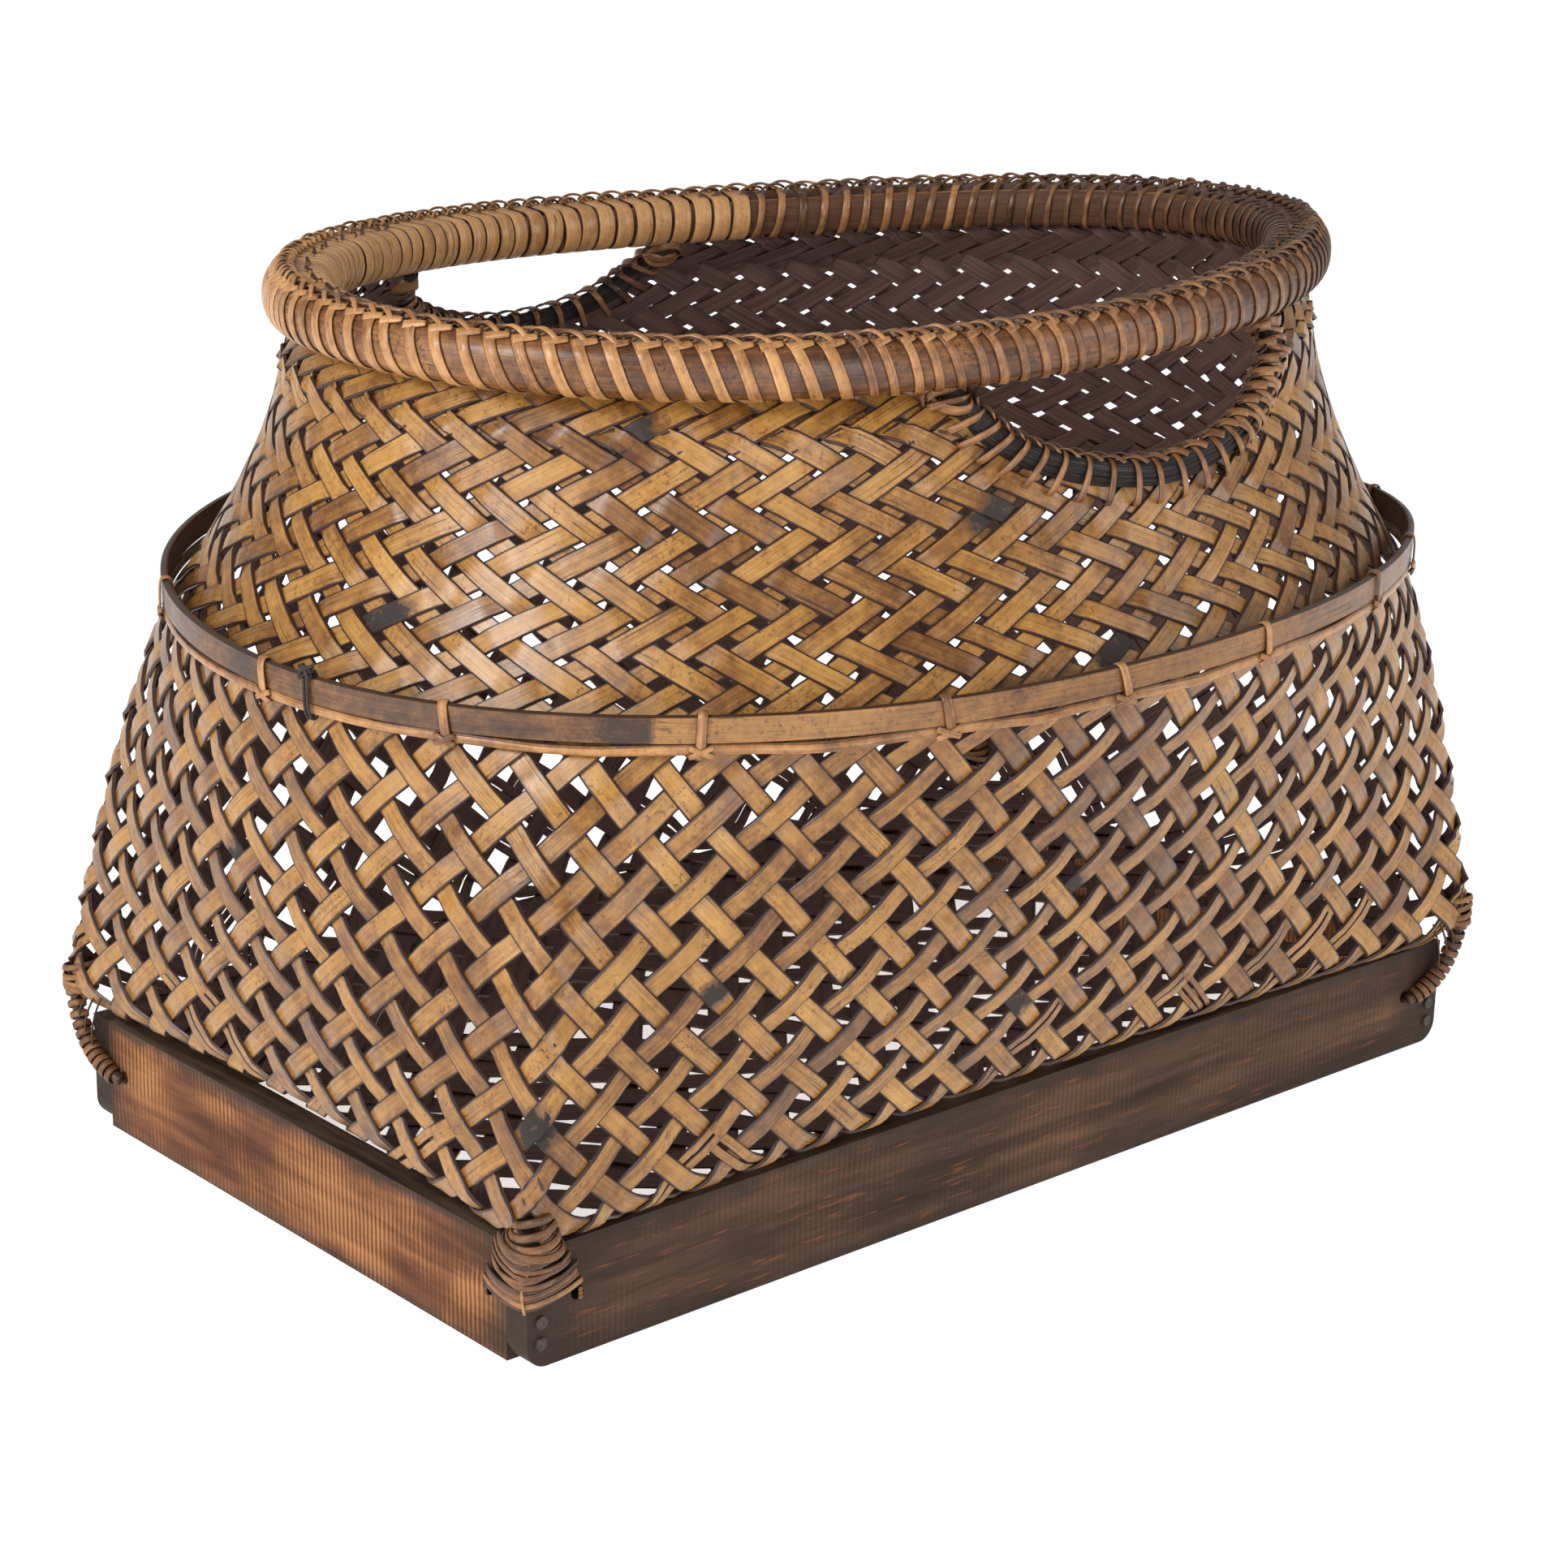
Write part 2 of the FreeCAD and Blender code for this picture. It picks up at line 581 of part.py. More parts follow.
def check_and_export(parts):
    DOC.recompute()
    for item in DOC.Objects:
        bad = [word for word in item.State if word in ("Invalid", "Error")]
        if bad:
            raise RuntimeError("%s is %s" % (item.Label, bad))
    os.makedirs("parts", exist_ok=True)
    for part in parts:
        shape = part.Shape
        if shape.isNull() or not shape.isValid() or not shape.Solids:
            raise RuntimeError(part.Label + " has no valid solid")
        print("%-28s %3d solids %9.1f mm3" % (part.Label, len(shape.Solids), shape.Volume))
        shape.exportStep("parts/%s.step" % part.Label)


def main():
    parts = make_boards()
    parts.append(make_nails())
    shell = make_shell()
    parts.append(make_body(shell))
    parts.extend(make_hoops())
    parts.append(make_rim_lashing())
    parts.extend(make_handle(-1, "front", shell))
    parts.extend(make_handle(1, "back", shell))
    parts.extend(make_ties())
    parts.extend(make_corner_lashings())
    check_and_export(parts)


main()
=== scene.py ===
import math

import bpy
import numpy as np
from mathutils import Matrix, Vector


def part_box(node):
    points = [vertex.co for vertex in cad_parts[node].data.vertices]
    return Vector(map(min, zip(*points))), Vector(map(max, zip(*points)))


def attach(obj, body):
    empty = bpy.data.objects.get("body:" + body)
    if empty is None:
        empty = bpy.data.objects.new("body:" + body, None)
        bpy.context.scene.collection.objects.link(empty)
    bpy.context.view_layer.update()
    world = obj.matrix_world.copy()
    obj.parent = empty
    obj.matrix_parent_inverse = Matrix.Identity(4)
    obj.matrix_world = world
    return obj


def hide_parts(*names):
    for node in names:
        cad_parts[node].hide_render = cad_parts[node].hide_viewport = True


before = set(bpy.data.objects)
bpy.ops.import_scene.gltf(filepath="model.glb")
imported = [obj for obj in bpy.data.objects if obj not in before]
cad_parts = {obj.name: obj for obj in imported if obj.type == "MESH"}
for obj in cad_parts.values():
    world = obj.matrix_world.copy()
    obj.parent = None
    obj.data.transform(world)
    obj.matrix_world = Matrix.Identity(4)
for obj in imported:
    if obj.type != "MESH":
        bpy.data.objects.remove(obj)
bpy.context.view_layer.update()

random = np.random.default_rng(11)
TAU = 2 * math.pi


# ---- sizes, in millimetres, from the CAD model ----

def node_box(node):
    low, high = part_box(node)
    return np.array(low) * 1000, np.array(high) * 1000


LONG_LOW, LONG_HIGH = node_box("long_board_front")
FRAME_X = LONG_HIGH[0]
FRAME_Y = -LONG_LOW[1]
BOARD_TOP = LONG_HIGH[2]
POLE_LOW, POLE_HIGH = node_box("outer_rim_pole")
INNER_HIGH = node_box("inner_rim_hoop")[1]
BAND_LOW, BAND_HIGH = node_box("mid_hoop")
CANE_LOW, CANE_HIGH = node_box("hoop_cane")
ROD_SIZE = 9.0

# The body's form is the CAD model's: a rectangle at the foot, ovals from the girth up.
FOOT = (232.0, 139.5)
GIRTH = (236.5, 195.5)
NECK = (201.0, 156.5)
MOUTH = (193.2, 146.0)
FOOT_RISE = 13.0
FOOT_INSET = 14.0
FOOT_TOP = BOARD_TOP + FOOT_RISE
GIRTH_Z = 203.0
NECK_Z = 288.0
COLLAR_Z = POLE_LOW[2]
MOUTH_Z = node_box("woven_body")[1][2]
SHELL = 3.0
BAND_HALF = (4.5, 1.3)
BAND = BAND_HIGH[:2] - BAND_HALF[1]
BAND_Z = (BAND_LOW[2] + BAND_HIGH[2]) / 2


def opening_shape(node):
    """Middle, half width and depth of the line that a handle rod follows."""
    low, high = node_box(node)
    half = (high[0] - low[0] - ROD_SIZE) / 2
    return (low[0] + high[0]) / 2, half, COLLAR_Z - low[2] - ROD_SIZE / 2


OPENINGS = {-1: opening_shape("handle_rod_front"), 1: opening_shape("handle_rod_back")}

# The plait: strips round the foot, and rows of crossings up the wall.
LONG_STRIPS = 19
SHORT_STRIPS = 11
STRIPS = 2 * (LONG_STRIPS + SHORT_STRIPS)
SIDE_STOPS = np.array([0, LONG_STRIPS, STRIPS / 2, STRIPS / 2 + LONG_STRIPS, STRIPS], float)
SIDE_ANGLES = np.radians([216.0, 324.0, 396.0, 504.0, 576.0])
OPEN_ROWS = 14
ALL_ROWS = 36
FOLD_ROWS = 1.75
ROW_SAMPLES = 5
STRIP_THICK = 1.15
STRIP_HALF = 3.7
FLOOR_EXTRA = 1.9

# How many rows up a strip is split into threads, and how likely each is.
SPLIT_ROWS = (-9, 0.9, 1.6, 2.6)
SPLIT_ODDS = (0.74, 0.12, 0.10, 0.04)

# How far the plaited foot bows up off the frame at mid side: (long sides, short sides).
FOOT_BOW = (2.4, 5.4)
FOOT_BOW_TOP = 112.0

# Strip places scorched by fire: (family, place round the foot, row, half length in rows).
SCORCHED = (
    (1, 3.6, 12.5, 0.4), (0, 5.2, 5.0, 0.35), (0, 8.2, 2.5, 0.5), (0, 59.7, 2.8, 0.5), (1, 56.5, 17.9, 0.9),
    (1, 0.0, 17.6, 0.7), (1, 0.1, 29.4, 1.0), (1, 2.9, 25.8, 0.6), (0, 6.6, 23.7, 0.7), (1, 8.4, 15.2, 0.9),
    (1, 9.0, 6.3, 0.3), (0, 3.0, 5.8, 0.3), (1, 53.9, 7.2, 0.4), (1, 1.6, 22.8, 0.4), (0, 25.0, 9.0, 0.6),
    (1, 34.0, 20.0, 0.8), (0, 41.0, 6.0, 0.6), (1, 47.0, 26.0, 0.7))

# Slow waves in the height of band and rim, as sizes of cos, sin, cos 2 and sin 2 of the angle round them.
BAND_WAVES = (-0.19, -1.17, -3.01, -5.18)
RIM_WAVES = (2.37, -2.92, 1.77, -2.96)
# How far the belly and the neck lean off the middle, in x and y.
BELLY_LEAN = (1.2, -1.1)
NECK_LEAN = (0.6, -0.8)


# ---- points and directions ----

def unit(vectors):
    return vectors / np.maximum(np.linalg.norm(vectors, axis=-1, keepdims=True), 1e-9)


def square_to(vectors, tangent):
    """The vectors' part at right angles to the tangent, at unit length."""
    vectors = np.asarray(vectors, float)
    return unit(vectors - tangent * np.sum(vectors * tangent, -1, keepdims=True))


def circle(count):
    """Even angles round one turn."""
    return np.arange(count) * TAU / count


def at_height(xy, z):
    return np.concatenate([xy, np.broadcast_to(z, xy.shape[:-1])[..., None]], -1)


def stand_up(face, normal):
    """Directions in 3-D, from flat outward directions and a section's (out, up) normals."""
    return face * normal[:, :1] + np.array([0, 0, 1.0]) * normal[:, 1:]


def oval(half, angle):
    return np.stack([half[0] * np.cos(angle), half[1] * np.sin(angle)], -1)


def oval_run(half, angle):
    """Outward normal and length per radian of an oval."""
    normal = unit(np.stack([half[1] * np.cos(angle), half[0] * np.sin(angle)], -1))
    return normal, np.hypot(half[0] * np.sin(angle), half[1] * np.cos(angle))


def beside(half, angle, out, z):
    """Points a distance out from an oval, at a height, and the outward directions there."""
    normal, _ = oval_run(half, angle)
    return at_height(oval(half, angle) + normal * np.asarray(out)[..., None], z), at_height(normal, 0)


# ---- the body's surface ----

def foot_rectangle(u):
    """Points of the foot's rectangle, its corners slightly eased."""
    def corner_line(v):
        v = np.mod(v, STRIPS)
        x = np.interp(v, SIDE_STOPS, [-FOOT[0], FOOT[0], FOOT[0], -FOOT[0], -FOOT[0]])
        y = np.interp(v, SIDE_STOPS, [-FOOT[1], -FOOT[1], FOOT[1], FOOT[1], -FOOT[1]])
        return np.stack([x, y], -1)
    ease = 0.22
    return (corner_line(u - ease) + 2 * corner_line(u) + corner_line(u + ease)) / 4


def upper_half(z):
    """Half sizes of the body's oval at a height from the girth up."""
    spread = np.clip(1 - (z - GIRTH_Z) / (NECK_Z - GIRTH_Z), 0, 1) ** 1.5
    tuck = np.clip((z - NECK_Z) / (COLLAR_Z - NECK_Z), 0, 1)
    return [neck + (girth - neck) * spread + (mouth - neck) * tuck
            for girth, neck, mouth in zip(GIRTH, NECK, MOUTH)]


def wall_xy(u, z):
    angle = np.interp(np.mod(u, STRIPS), SIDE_STOPS, SIDE_ANGLES)
    drop = np.clip((GIRTH_Z - z) / (GIRTH_Z - FOOT_TOP), 0, 1)[..., None]
    square = drop ** 0.76
    lower = oval(GIRTH, angle) * (1 + 0.05 * drop) * (1 - square) + foot_rectangle(u) * square
    return np.where((z >= GIRTH_Z)[..., None], oval(upper_half(z), angle), lower)


def row_heights():
    """Height of each crossing row: even along the wall up to the band, then closing up to the rim."""
    z = np.linspace(FOOT_TOP, MOUTH_Z, 600)
    xy = wall_xy(np.full_like(z, LONG_STRIPS / 2), z)
    run = np.concatenate([[0], np.cumsum(np.hypot(np.hypot(*np.diff(xy, axis=0).T), np.diff(z)))])
    band_run = np.interp(BAND_Z, z, run)
    open_run = np.linspace(0, band_run, OPEN_ROWS + 1)
    steps = np.linspace(6.6, 4.6, ALL_ROWS - OPEN_ROWS)
    close_run = band_run + np.cumsum(steps) * (run[-1] - band_run) / steps.sum()
    return np.interp(np.concatenate([open_run, close_run]), run, z)


ROW_Z = row_heights()


def surface(u, row):
    """A point on the body's outer face. Below row 0 the wall folds under to the floor."""
    z = np.interp(row, np.arange(ALL_ROWS + 1), ROW_Z)
    fold = np.clip(-row / FOLD_ROWS, 0, 1) * math.pi / 2
    z = np.where(row < 0, FOOT_TOP - FOOT_RISE * np.sin(fold), z)
    bow = foot_bow(u) * np.clip((FOOT_BOW_TOP - z) / (FOOT_BOW_TOP - FOOT_TOP), 0, 1)
    inset = FOOT_INSET * (1 - np.cos(fold)) + 0.5 * bow
    xy = wall_xy(u, np.maximum(z, FOOT_TOP))
    scale = np.stack([1 - inset / FOOT[0], 1 - inset / FOOT[1]], -1)
    return at_height(xy * scale, z + bow)


def foot_bow(u):
    place = np.mod(u, STRIPS)
    side = np.clip(np.searchsorted(SIDE_STOPS, place, side="right") - 1, 0, 3)
    share = (place - SIDE_STOPS[side]) / (SIDE_STOPS[side + 1] - SIDE_STOPS[side])
    return np.array(FOOT_BOW)[side % 2] * 4 * share * (1 - share)


def surface_normal(u, row):
    step = 0.02
    across = surface(u + step, row) - surface(u - step, row)
    up = surface(u, row + step) - surface(u, row - step)
    return unit(np.cross(across, up))


def settle(points):
    """Hand-made unevenness: rim and band are not quite level, and the neck leans a little."""
    x, y, z = points.T
    angle = np.arctan2(y / GIRTH[1], x / GIRTH[0])
    waves = np.cos(angle), np.sin(angle), np.cos(2 * angle), np.sin(2 * angle)
    band_lift, rim_lift = (sum(size * wave for size, wave in zip(sizes, waves))
                           for sizes in (BAND_WAVES, RIM_WAVES))
    low = np.clip((z - FOOT_TOP) / (BAND_Z - FOOT_TOP), 0, 1)
    high = np.clip((z - BAND_Z) / (COLLAR_Z - BAND_Z), 0, 1)
    lift = low * (1 - high) * band_lift + high * rim_lift
    lean = [belly * low + neck * high for belly, neck in zip(BELLY_LEAN, NECK_LEAN)]
    return points + np.stack([*lean, lift], -1)


# ---- mesh building ----

def ring_profile(count, power=2.0):
    """A round or squarish closed section: (across, out) pairs from -1 to 1."""
    c, s = np.cos(circle(count)), np.sin(circle(count))
    return np.stack([np.sign(c) * np.abs(c) ** (2 / power), np.sign(s) * np.abs(s) ** (2 / power)], -1)


STRIP = np.array([[1, -0.8], [1, 0.5], [0.9, 1], [0, 1.1], [-0.9, 1], [-1, 0.5], [-1, -0.8]])
FLAT = np.array([[1, -0.3], [0.8, 0.75], [0, 1], [-0.8, 0.75], [-1, -0.3], [0, -1]])


class Piece:
    """One visible piece, gathered from swept lengths, each with its own tone and grain."""

    def __init__(self):
        self.points = []
        self.faces = []
        self.values = {"across": [], "out": [], "along": [], "tone": [], "soot": []}
        self.count = 0

    def sweep(self, path, normals, half_width, half_thick, profile=FLAT, closed=False, tone=0.0, soot=0.0,
              shift=0.0):
        size = len(path)
        if size < 3:
            return
        tangent = unit(np.roll(path, -1, 0) - np.roll(path, 1, 0) if closed else np.gradient(path, axis=0))
        normals = square_to(normals, tangent)
        side = np.cross(normals, tangent)
        path = path + side * np.broadcast_to(shift, (size,))[:, None]
        half_width = np.broadcast_to(half_width, (size,))
        half_thick = np.broadcast_to(half_thick, (size,))
        count = len(profile)
        points = (path[:, None] + side[:, None] * (half_width[:, None] * profile[:, 0])[..., None]
                  + normals[:, None] * (half_thick[:, None] * profile[:, 1])[..., None])
        run = np.concatenate([[0], np.cumsum(np.linalg.norm(np.diff(path, axis=0), axis=1))])
        # One value for each point, in the order of self.values.
        along = run[:, None] / 1000 + random.uniform(0, 9)
        tone, soot = (np.broadcast_to(value, (size,))[:, None] for value in (tone, soot))
        for key, value in zip(self.values, (profile[:, 0], profile[:, 1], along, tone, soot)):
            self.values[key].append((np.ones((size, count)) * value).ravel())
        rings = size if closed else size - 1
        i, k = np.meshgrid(np.arange(rings), np.arange(count), indexing="ij")
        i2, k2 = (i + 1) % size, (k + 1) % count
        quads = np.stack([i * count + k, i * count + k2, i2 * count + k2, i2 * count + k], -1)
        self.faces.append(quads.reshape(-1, 4) + self.count)
        if not closed:
            ends = np.arange(count)
            self.faces.append((ends[::-1] + self.count)[None])
            self.faces.append((ends + (size - 1) * count + self.count)[None])
        self.points.append(points.reshape(-1, 3))
        self.count += size * count

    def build(self, name, material, slot, *nodes, warp=True):
        points = np.concatenate(self.points)
        if warp:
            points = settle(points)
        faces = [face for group in self.faces for face in group.tolist()]
        mesh = bpy.data.meshes.new(name)
        mesh.from_pydata(points / 1000, [], faces, shade_flat=False)
        mesh.validate()
        for key, parts in self.values.items():
            layer = mesh.attributes.new(key, "FLOAT", "POINT")
            layer.data.foreach_set("value", np.concatenate(parts).astype(np.float32))
        crease(mesh, self.values)
        mesh.materials.append(material)
        piece = bpy.data.objects.new(name, mesh)
        bpy.context.scene.collection.objects.link(piece)
        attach(piece, "root")
        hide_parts(*nodes)
        return piece


def crease(mesh, values):
    """Keeps the long edges of flat strips crisp."""
    ends = np.empty(len(mesh.edges) * 2, np.int32)
    mesh.edges.foreach_get("vertices", ends)
    ends = ends.reshape(-1, 2)
    across, out = (np.concatenate(values[key]) for key in ("across", "out"))
    corner = (np.isclose(np.abs(across), 0.9) & np.isclose(out, 1.0)) | np.isclose(out, -0.8)
    same = np.isclose(across[ends[:, 0]], across[ends[:, 1]])
    sharp = mesh.attributes.new("sharp_edge", "BOOLEAN", "EDGE")
    sharp.data.foreach_set("value", corner[ends[:, 0]] & corner[ends[:, 1]] & same)


def wander(count, size, smooth):
    """A slow random drift, about size either way."""
    knots = random.normal(0, 1, max(int(count / smooth) + 3, 4))
    return size * np.interp(np.linspace(0, len(knots) - 1, count), np.arange(len(knots)), knots)


# ---- materials ----

class Shader:
    """A short way to write a node material."""

    def __init__(self, name):
        self.material = bpy.data.materials.new(name)
        self.material.use_nodes = True
        self.tree = self.material.node_tree
        self.tree.nodes.clear()
        self.output = self.tree.nodes.new("ShaderNodeOutputMaterial")
        self.principled = self.tree.nodes.new("ShaderNodeBsdfPrincipled")
        self.tree.links.new(self.principled.outputs[0], self.output.inputs[0])

    def put(self, socket, value):
        if isinstance(value, bpy.types.NodeSocket):
            self.tree.links.new(value, socket)
        elif socket.type == "RGBA" and len(value) == 3:
            socket.default_value = (*value, 1)
        else:
            socket.default_value = value

    def node(self, kind, *values, **settings):
        """A new node, with its settings, and with values or links for its first inputs."""
        node = self.tree.nodes.new("ShaderNode" + kind)
        for setting, value in settings.items():
            setattr(node, setting, value)
        for socket, value in zip(node.inputs, values):
            self.put(socket, value)
        return node

    def attribute(self, name):
        return self.node("Attribute", attribute_name=name).outputs["Fac"]

    def position(self):
        return self.node("TexCoord").outputs["Object"]

    def math(self, operation, *values, clamp=False):
        return self.node("Math", *values, operation=operation, use_clamp=clamp).outputs[0]

    def plus(self, first, second):
        return self.math("ADD", first, second)

    def minus(self, first, second):
        return self.math("SUBTRACT", first, second)

    def times(self, first, second):
        return self.math("MULTIPLY", first, second)

    def combine(self, x, y, z):
        return self.node("CombineXYZ", x, y, z).outputs[0]

    def stretch(self, vector, scale):
        return self.node("VectorMath", vector, scale, operation="MULTIPLY").outputs[0]

    def noise(self, vector, scale=1.0, detail=3.0, roughness=0.55, distortion=0.0):
        node = self.node("TexNoise", vector)
        for key, value in (("Scale", scale), ("Detail", detail), ("Roughness", roughness),
                           ("Distortion", distortion)):
            node.inputs[key].default_value = value
        return node.outputs["Fac"]

    def span(self, value, low, high, to_low=0.0, to_high=1.0):
        return self.node("MapRange", value, low, high, to_low, to_high,
                         interpolation_type="SMOOTHSTEP").outputs[0]

    def ramp(self, value, *stops):
        node = self.node("ValToRGB", value)
        elements = node.color_ramp.elements
        while len(elements) < len(stops):
            elements.new(0.5)
        for element, (place, colour) in zip(elements, stops):
            element.position = place
            element.color = (*colour, 1)
        return node.outputs[0]

    def mix(self, share, first, second, blend="MIX"):
        node = self.node("Mix", data_type="RGBA", blend_type=blend)
        self.put(node.inputs[0], share)
        self.put(node.inputs[6], first)
        self.put(node.inputs[7], second)
        return node.outputs[2]

    def finish(self, colour, roughness, height=None, depth=0.0002, strength=0.6, shine=0.5):
        self.put(self.principled.inputs["Base Color"], colour)
        self.put(self.principled.inputs["Roughness"], roughness)
        self.principled.inputs["Specular IOR Level"].default_value = shine
        if height is not None:
            bump = self.node("Bump")
            bump.inputs["Strength"].default_value = strength
            bump.inputs["Distance"].default_value = depth
            self.put(bump.inputs["Height"], height)
            self.tree.links.new(bump.outputs[0], self.principled.inputs["Normal"])
        return self.material


CHAR = (0.016, 0.009, 0.006)
# A dark edge that starts beyond the strip's own, so that there is none.
NO_EDGE = 3.0
# Distance between the marks of the saw, in metres.
SAW_PITCH = 0.0024


def grain_vector(shader, width):
    """Coordinates that run with a strip: across its width, along its length, apart for each strip."""
    across = shader.times(shader.attribute("across"), width)
    return shader.combine(across, shader.attribute("along"), shader.times(shader.attribute("tone"), 3.0))


def bamboo_material(name, palette, inner, width=0.0038, gloss=0.25, edge=(0.034, 0.014, 0.009),
                    edge_from=0.79, specks=1.0):
    """Split bamboo or cane, with fibres, cracks, dark edges that are partly painted shade, dirt, scorched
    places and a duller inner side.

    width is the strip's half width in metres, and the dark edge starts at edge_from, a share of it.
    """
    shader = Shader(name)
    grain = grain_vector(shader, width)
    place = shader.position()
    fibre = shader.noise(shader.stretch(grain, (2600, 40, 1)), detail=2)
    streak = shader.noise(shader.stretch(grain, (900, 9, 1)), detail=3)
    blotch = shader.noise(place, 42, 4, 0.6)
    level = shader.plus(shader.times(shader.attribute("tone"), 0.2), 0.5)
    mottle = shader.noise(place, 230, 5, 0.7)
    for layer, share in ((blotch, 1.0), (streak, 0.6), (mottle, 0.9)):
        level = shader.plus(level, shader.times(shader.minus(layer, 0.5), share))
    colour = shader.ramp(level, *zip((0.05, 0.34, 0.58, 0.95), palette))
    shade = shader.span(fibre, 0.3, 0.7, 0.84, 1.1)
    colour = shader.mix(1.0, colour, shader.combine(shade, shade, shade), "MULTIPLY")
    dirt = shader.span(shader.noise(place, 620, 4, 0.75), 0.52, 0.66)
    patch = shader.span(shader.noise(place, 75, 3), 0.40, 0.58)
    colour = shader.mix(shader.times(shader.times(dirt, patch), 0.85 * specks),
                        colour, palette[0])
    line = shader.minus(shader.noise(shader.stretch(grain, (520, 7, 1)), detail=1), 0.5)
    line = shader.math("ABSOLUTE", line)
    crack = shader.span(line, 0.004, 0.012, 1.0, 0.0)
    worn = shader.span(shader.noise(place, 26, 2), 0.5, 0.62)
    crack = shader.times(crack, worn)
    colour = shader.mix(shader.times(crack, 0.75), colour, edge)
    # Painted shade: the outer face darkens towards the long edges. This is partly the cane's own dark edge
    # and partly the shadow beside each strip.
    rim = shader.span(shader.math("ABSOLUTE", shader.attribute("across")), edge_from, edge_from + 0.06)
    colour = shader.mix(rim, colour, edge)
    back = shader.span(shader.attribute("out"), -0.1, -0.5)
    inside = shader.mix(shader.span(streak, 0.35, 0.65), inner, tuple(0.55 * part for part in inner))
    colour = shader.mix(back, colour, inside)
    ragged = shader.times(shader.minus(mottle, 0.5), 2.0)
    soot = shader.plus(shader.attribute("soot"), ragged)
    toast = shader.times(shader.span(soot, 0.2, 0.5), 0.7)
    colour = shader.mix(toast, colour, palette[0])
    burnt = shader.span(soot, 0.5, 0.9)
    colour = shader.mix(burnt, colour, CHAR)
    rough = shader.span(blotch, 0.3, 0.7, gloss, gloss + 0.16)
    rough = shader.math("ADD", rough, shader.times(shader.math("MAXIMUM", back, burnt), 0.35), clamp=True)
    height = shader.minus(shader.times(fibre, 0.5), crack)
    return shader.finish(colour, rough, height, 0.00025, 0.5)


GOLD = ((0.085, 0.031, 0.008), (0.205, 0.086, 0.019), (0.345, 0.160, 0.033), (0.48, 0.255, 0.064))
CANE = ((0.055, 0.021, 0.008), (0.19, 0.078, 0.024), (0.37, 0.168, 0.053), (0.57, 0.295, 0.108))
RED_CANE = ((0.045, 0.017, 0.007), (0.15, 0.058, 0.019), (0.28, 0.120, 0.038), (0.40, 0.195, 0.070))
POLE = ((0.030, 0.012, 0.005), (0.105, 0.037, 0.011), (0.215, 0.086, 0.024), (0.40, 0.19, 0.055))
HOOP = ((0.034, 0.014, 0.007), (0.10, 0.040, 0.014), (0.20, 0.086, 0.024), (0.31, 0.145, 0.037))
FIBRE = ((0.028, 0.010, 0.003), (0.095, 0.034, 0.010), (0.185, 0.074, 0.022), (0.38, 0.19, 0.068))
INSIDE = (0.125, 0.062, 0.049)
LONG_WOOD = ((0.022, 0.012, 0.008), (0.045, 0.023, 0.013), (0.078, 0.038, 0.020), (0.14, 0.068, 0.032))
SHORT_WOOD = ((0.072, 0.026, 0.011), (0.165, 0.059, 0.021), (0.285, 0.113, 0.037), (0.38, 0.168, 0.059))


def rod_material(name, colour_low, colour_high):
    shader = Shader(name)
    grain = grain_vector(shader, 0.006)
    fibre = shader.noise(shader.stretch(grain, (1500, 30, 1)), detail=3)
    colour = shader.mix(shader.span(fibre, 0.38, 0.66), colour_low, colour_high)
    return shader.finish(colour, shader.span(fibre, 0.3, 0.7, 0.75, 0.5), fibre, 0.0006, 0.9, 0.25)


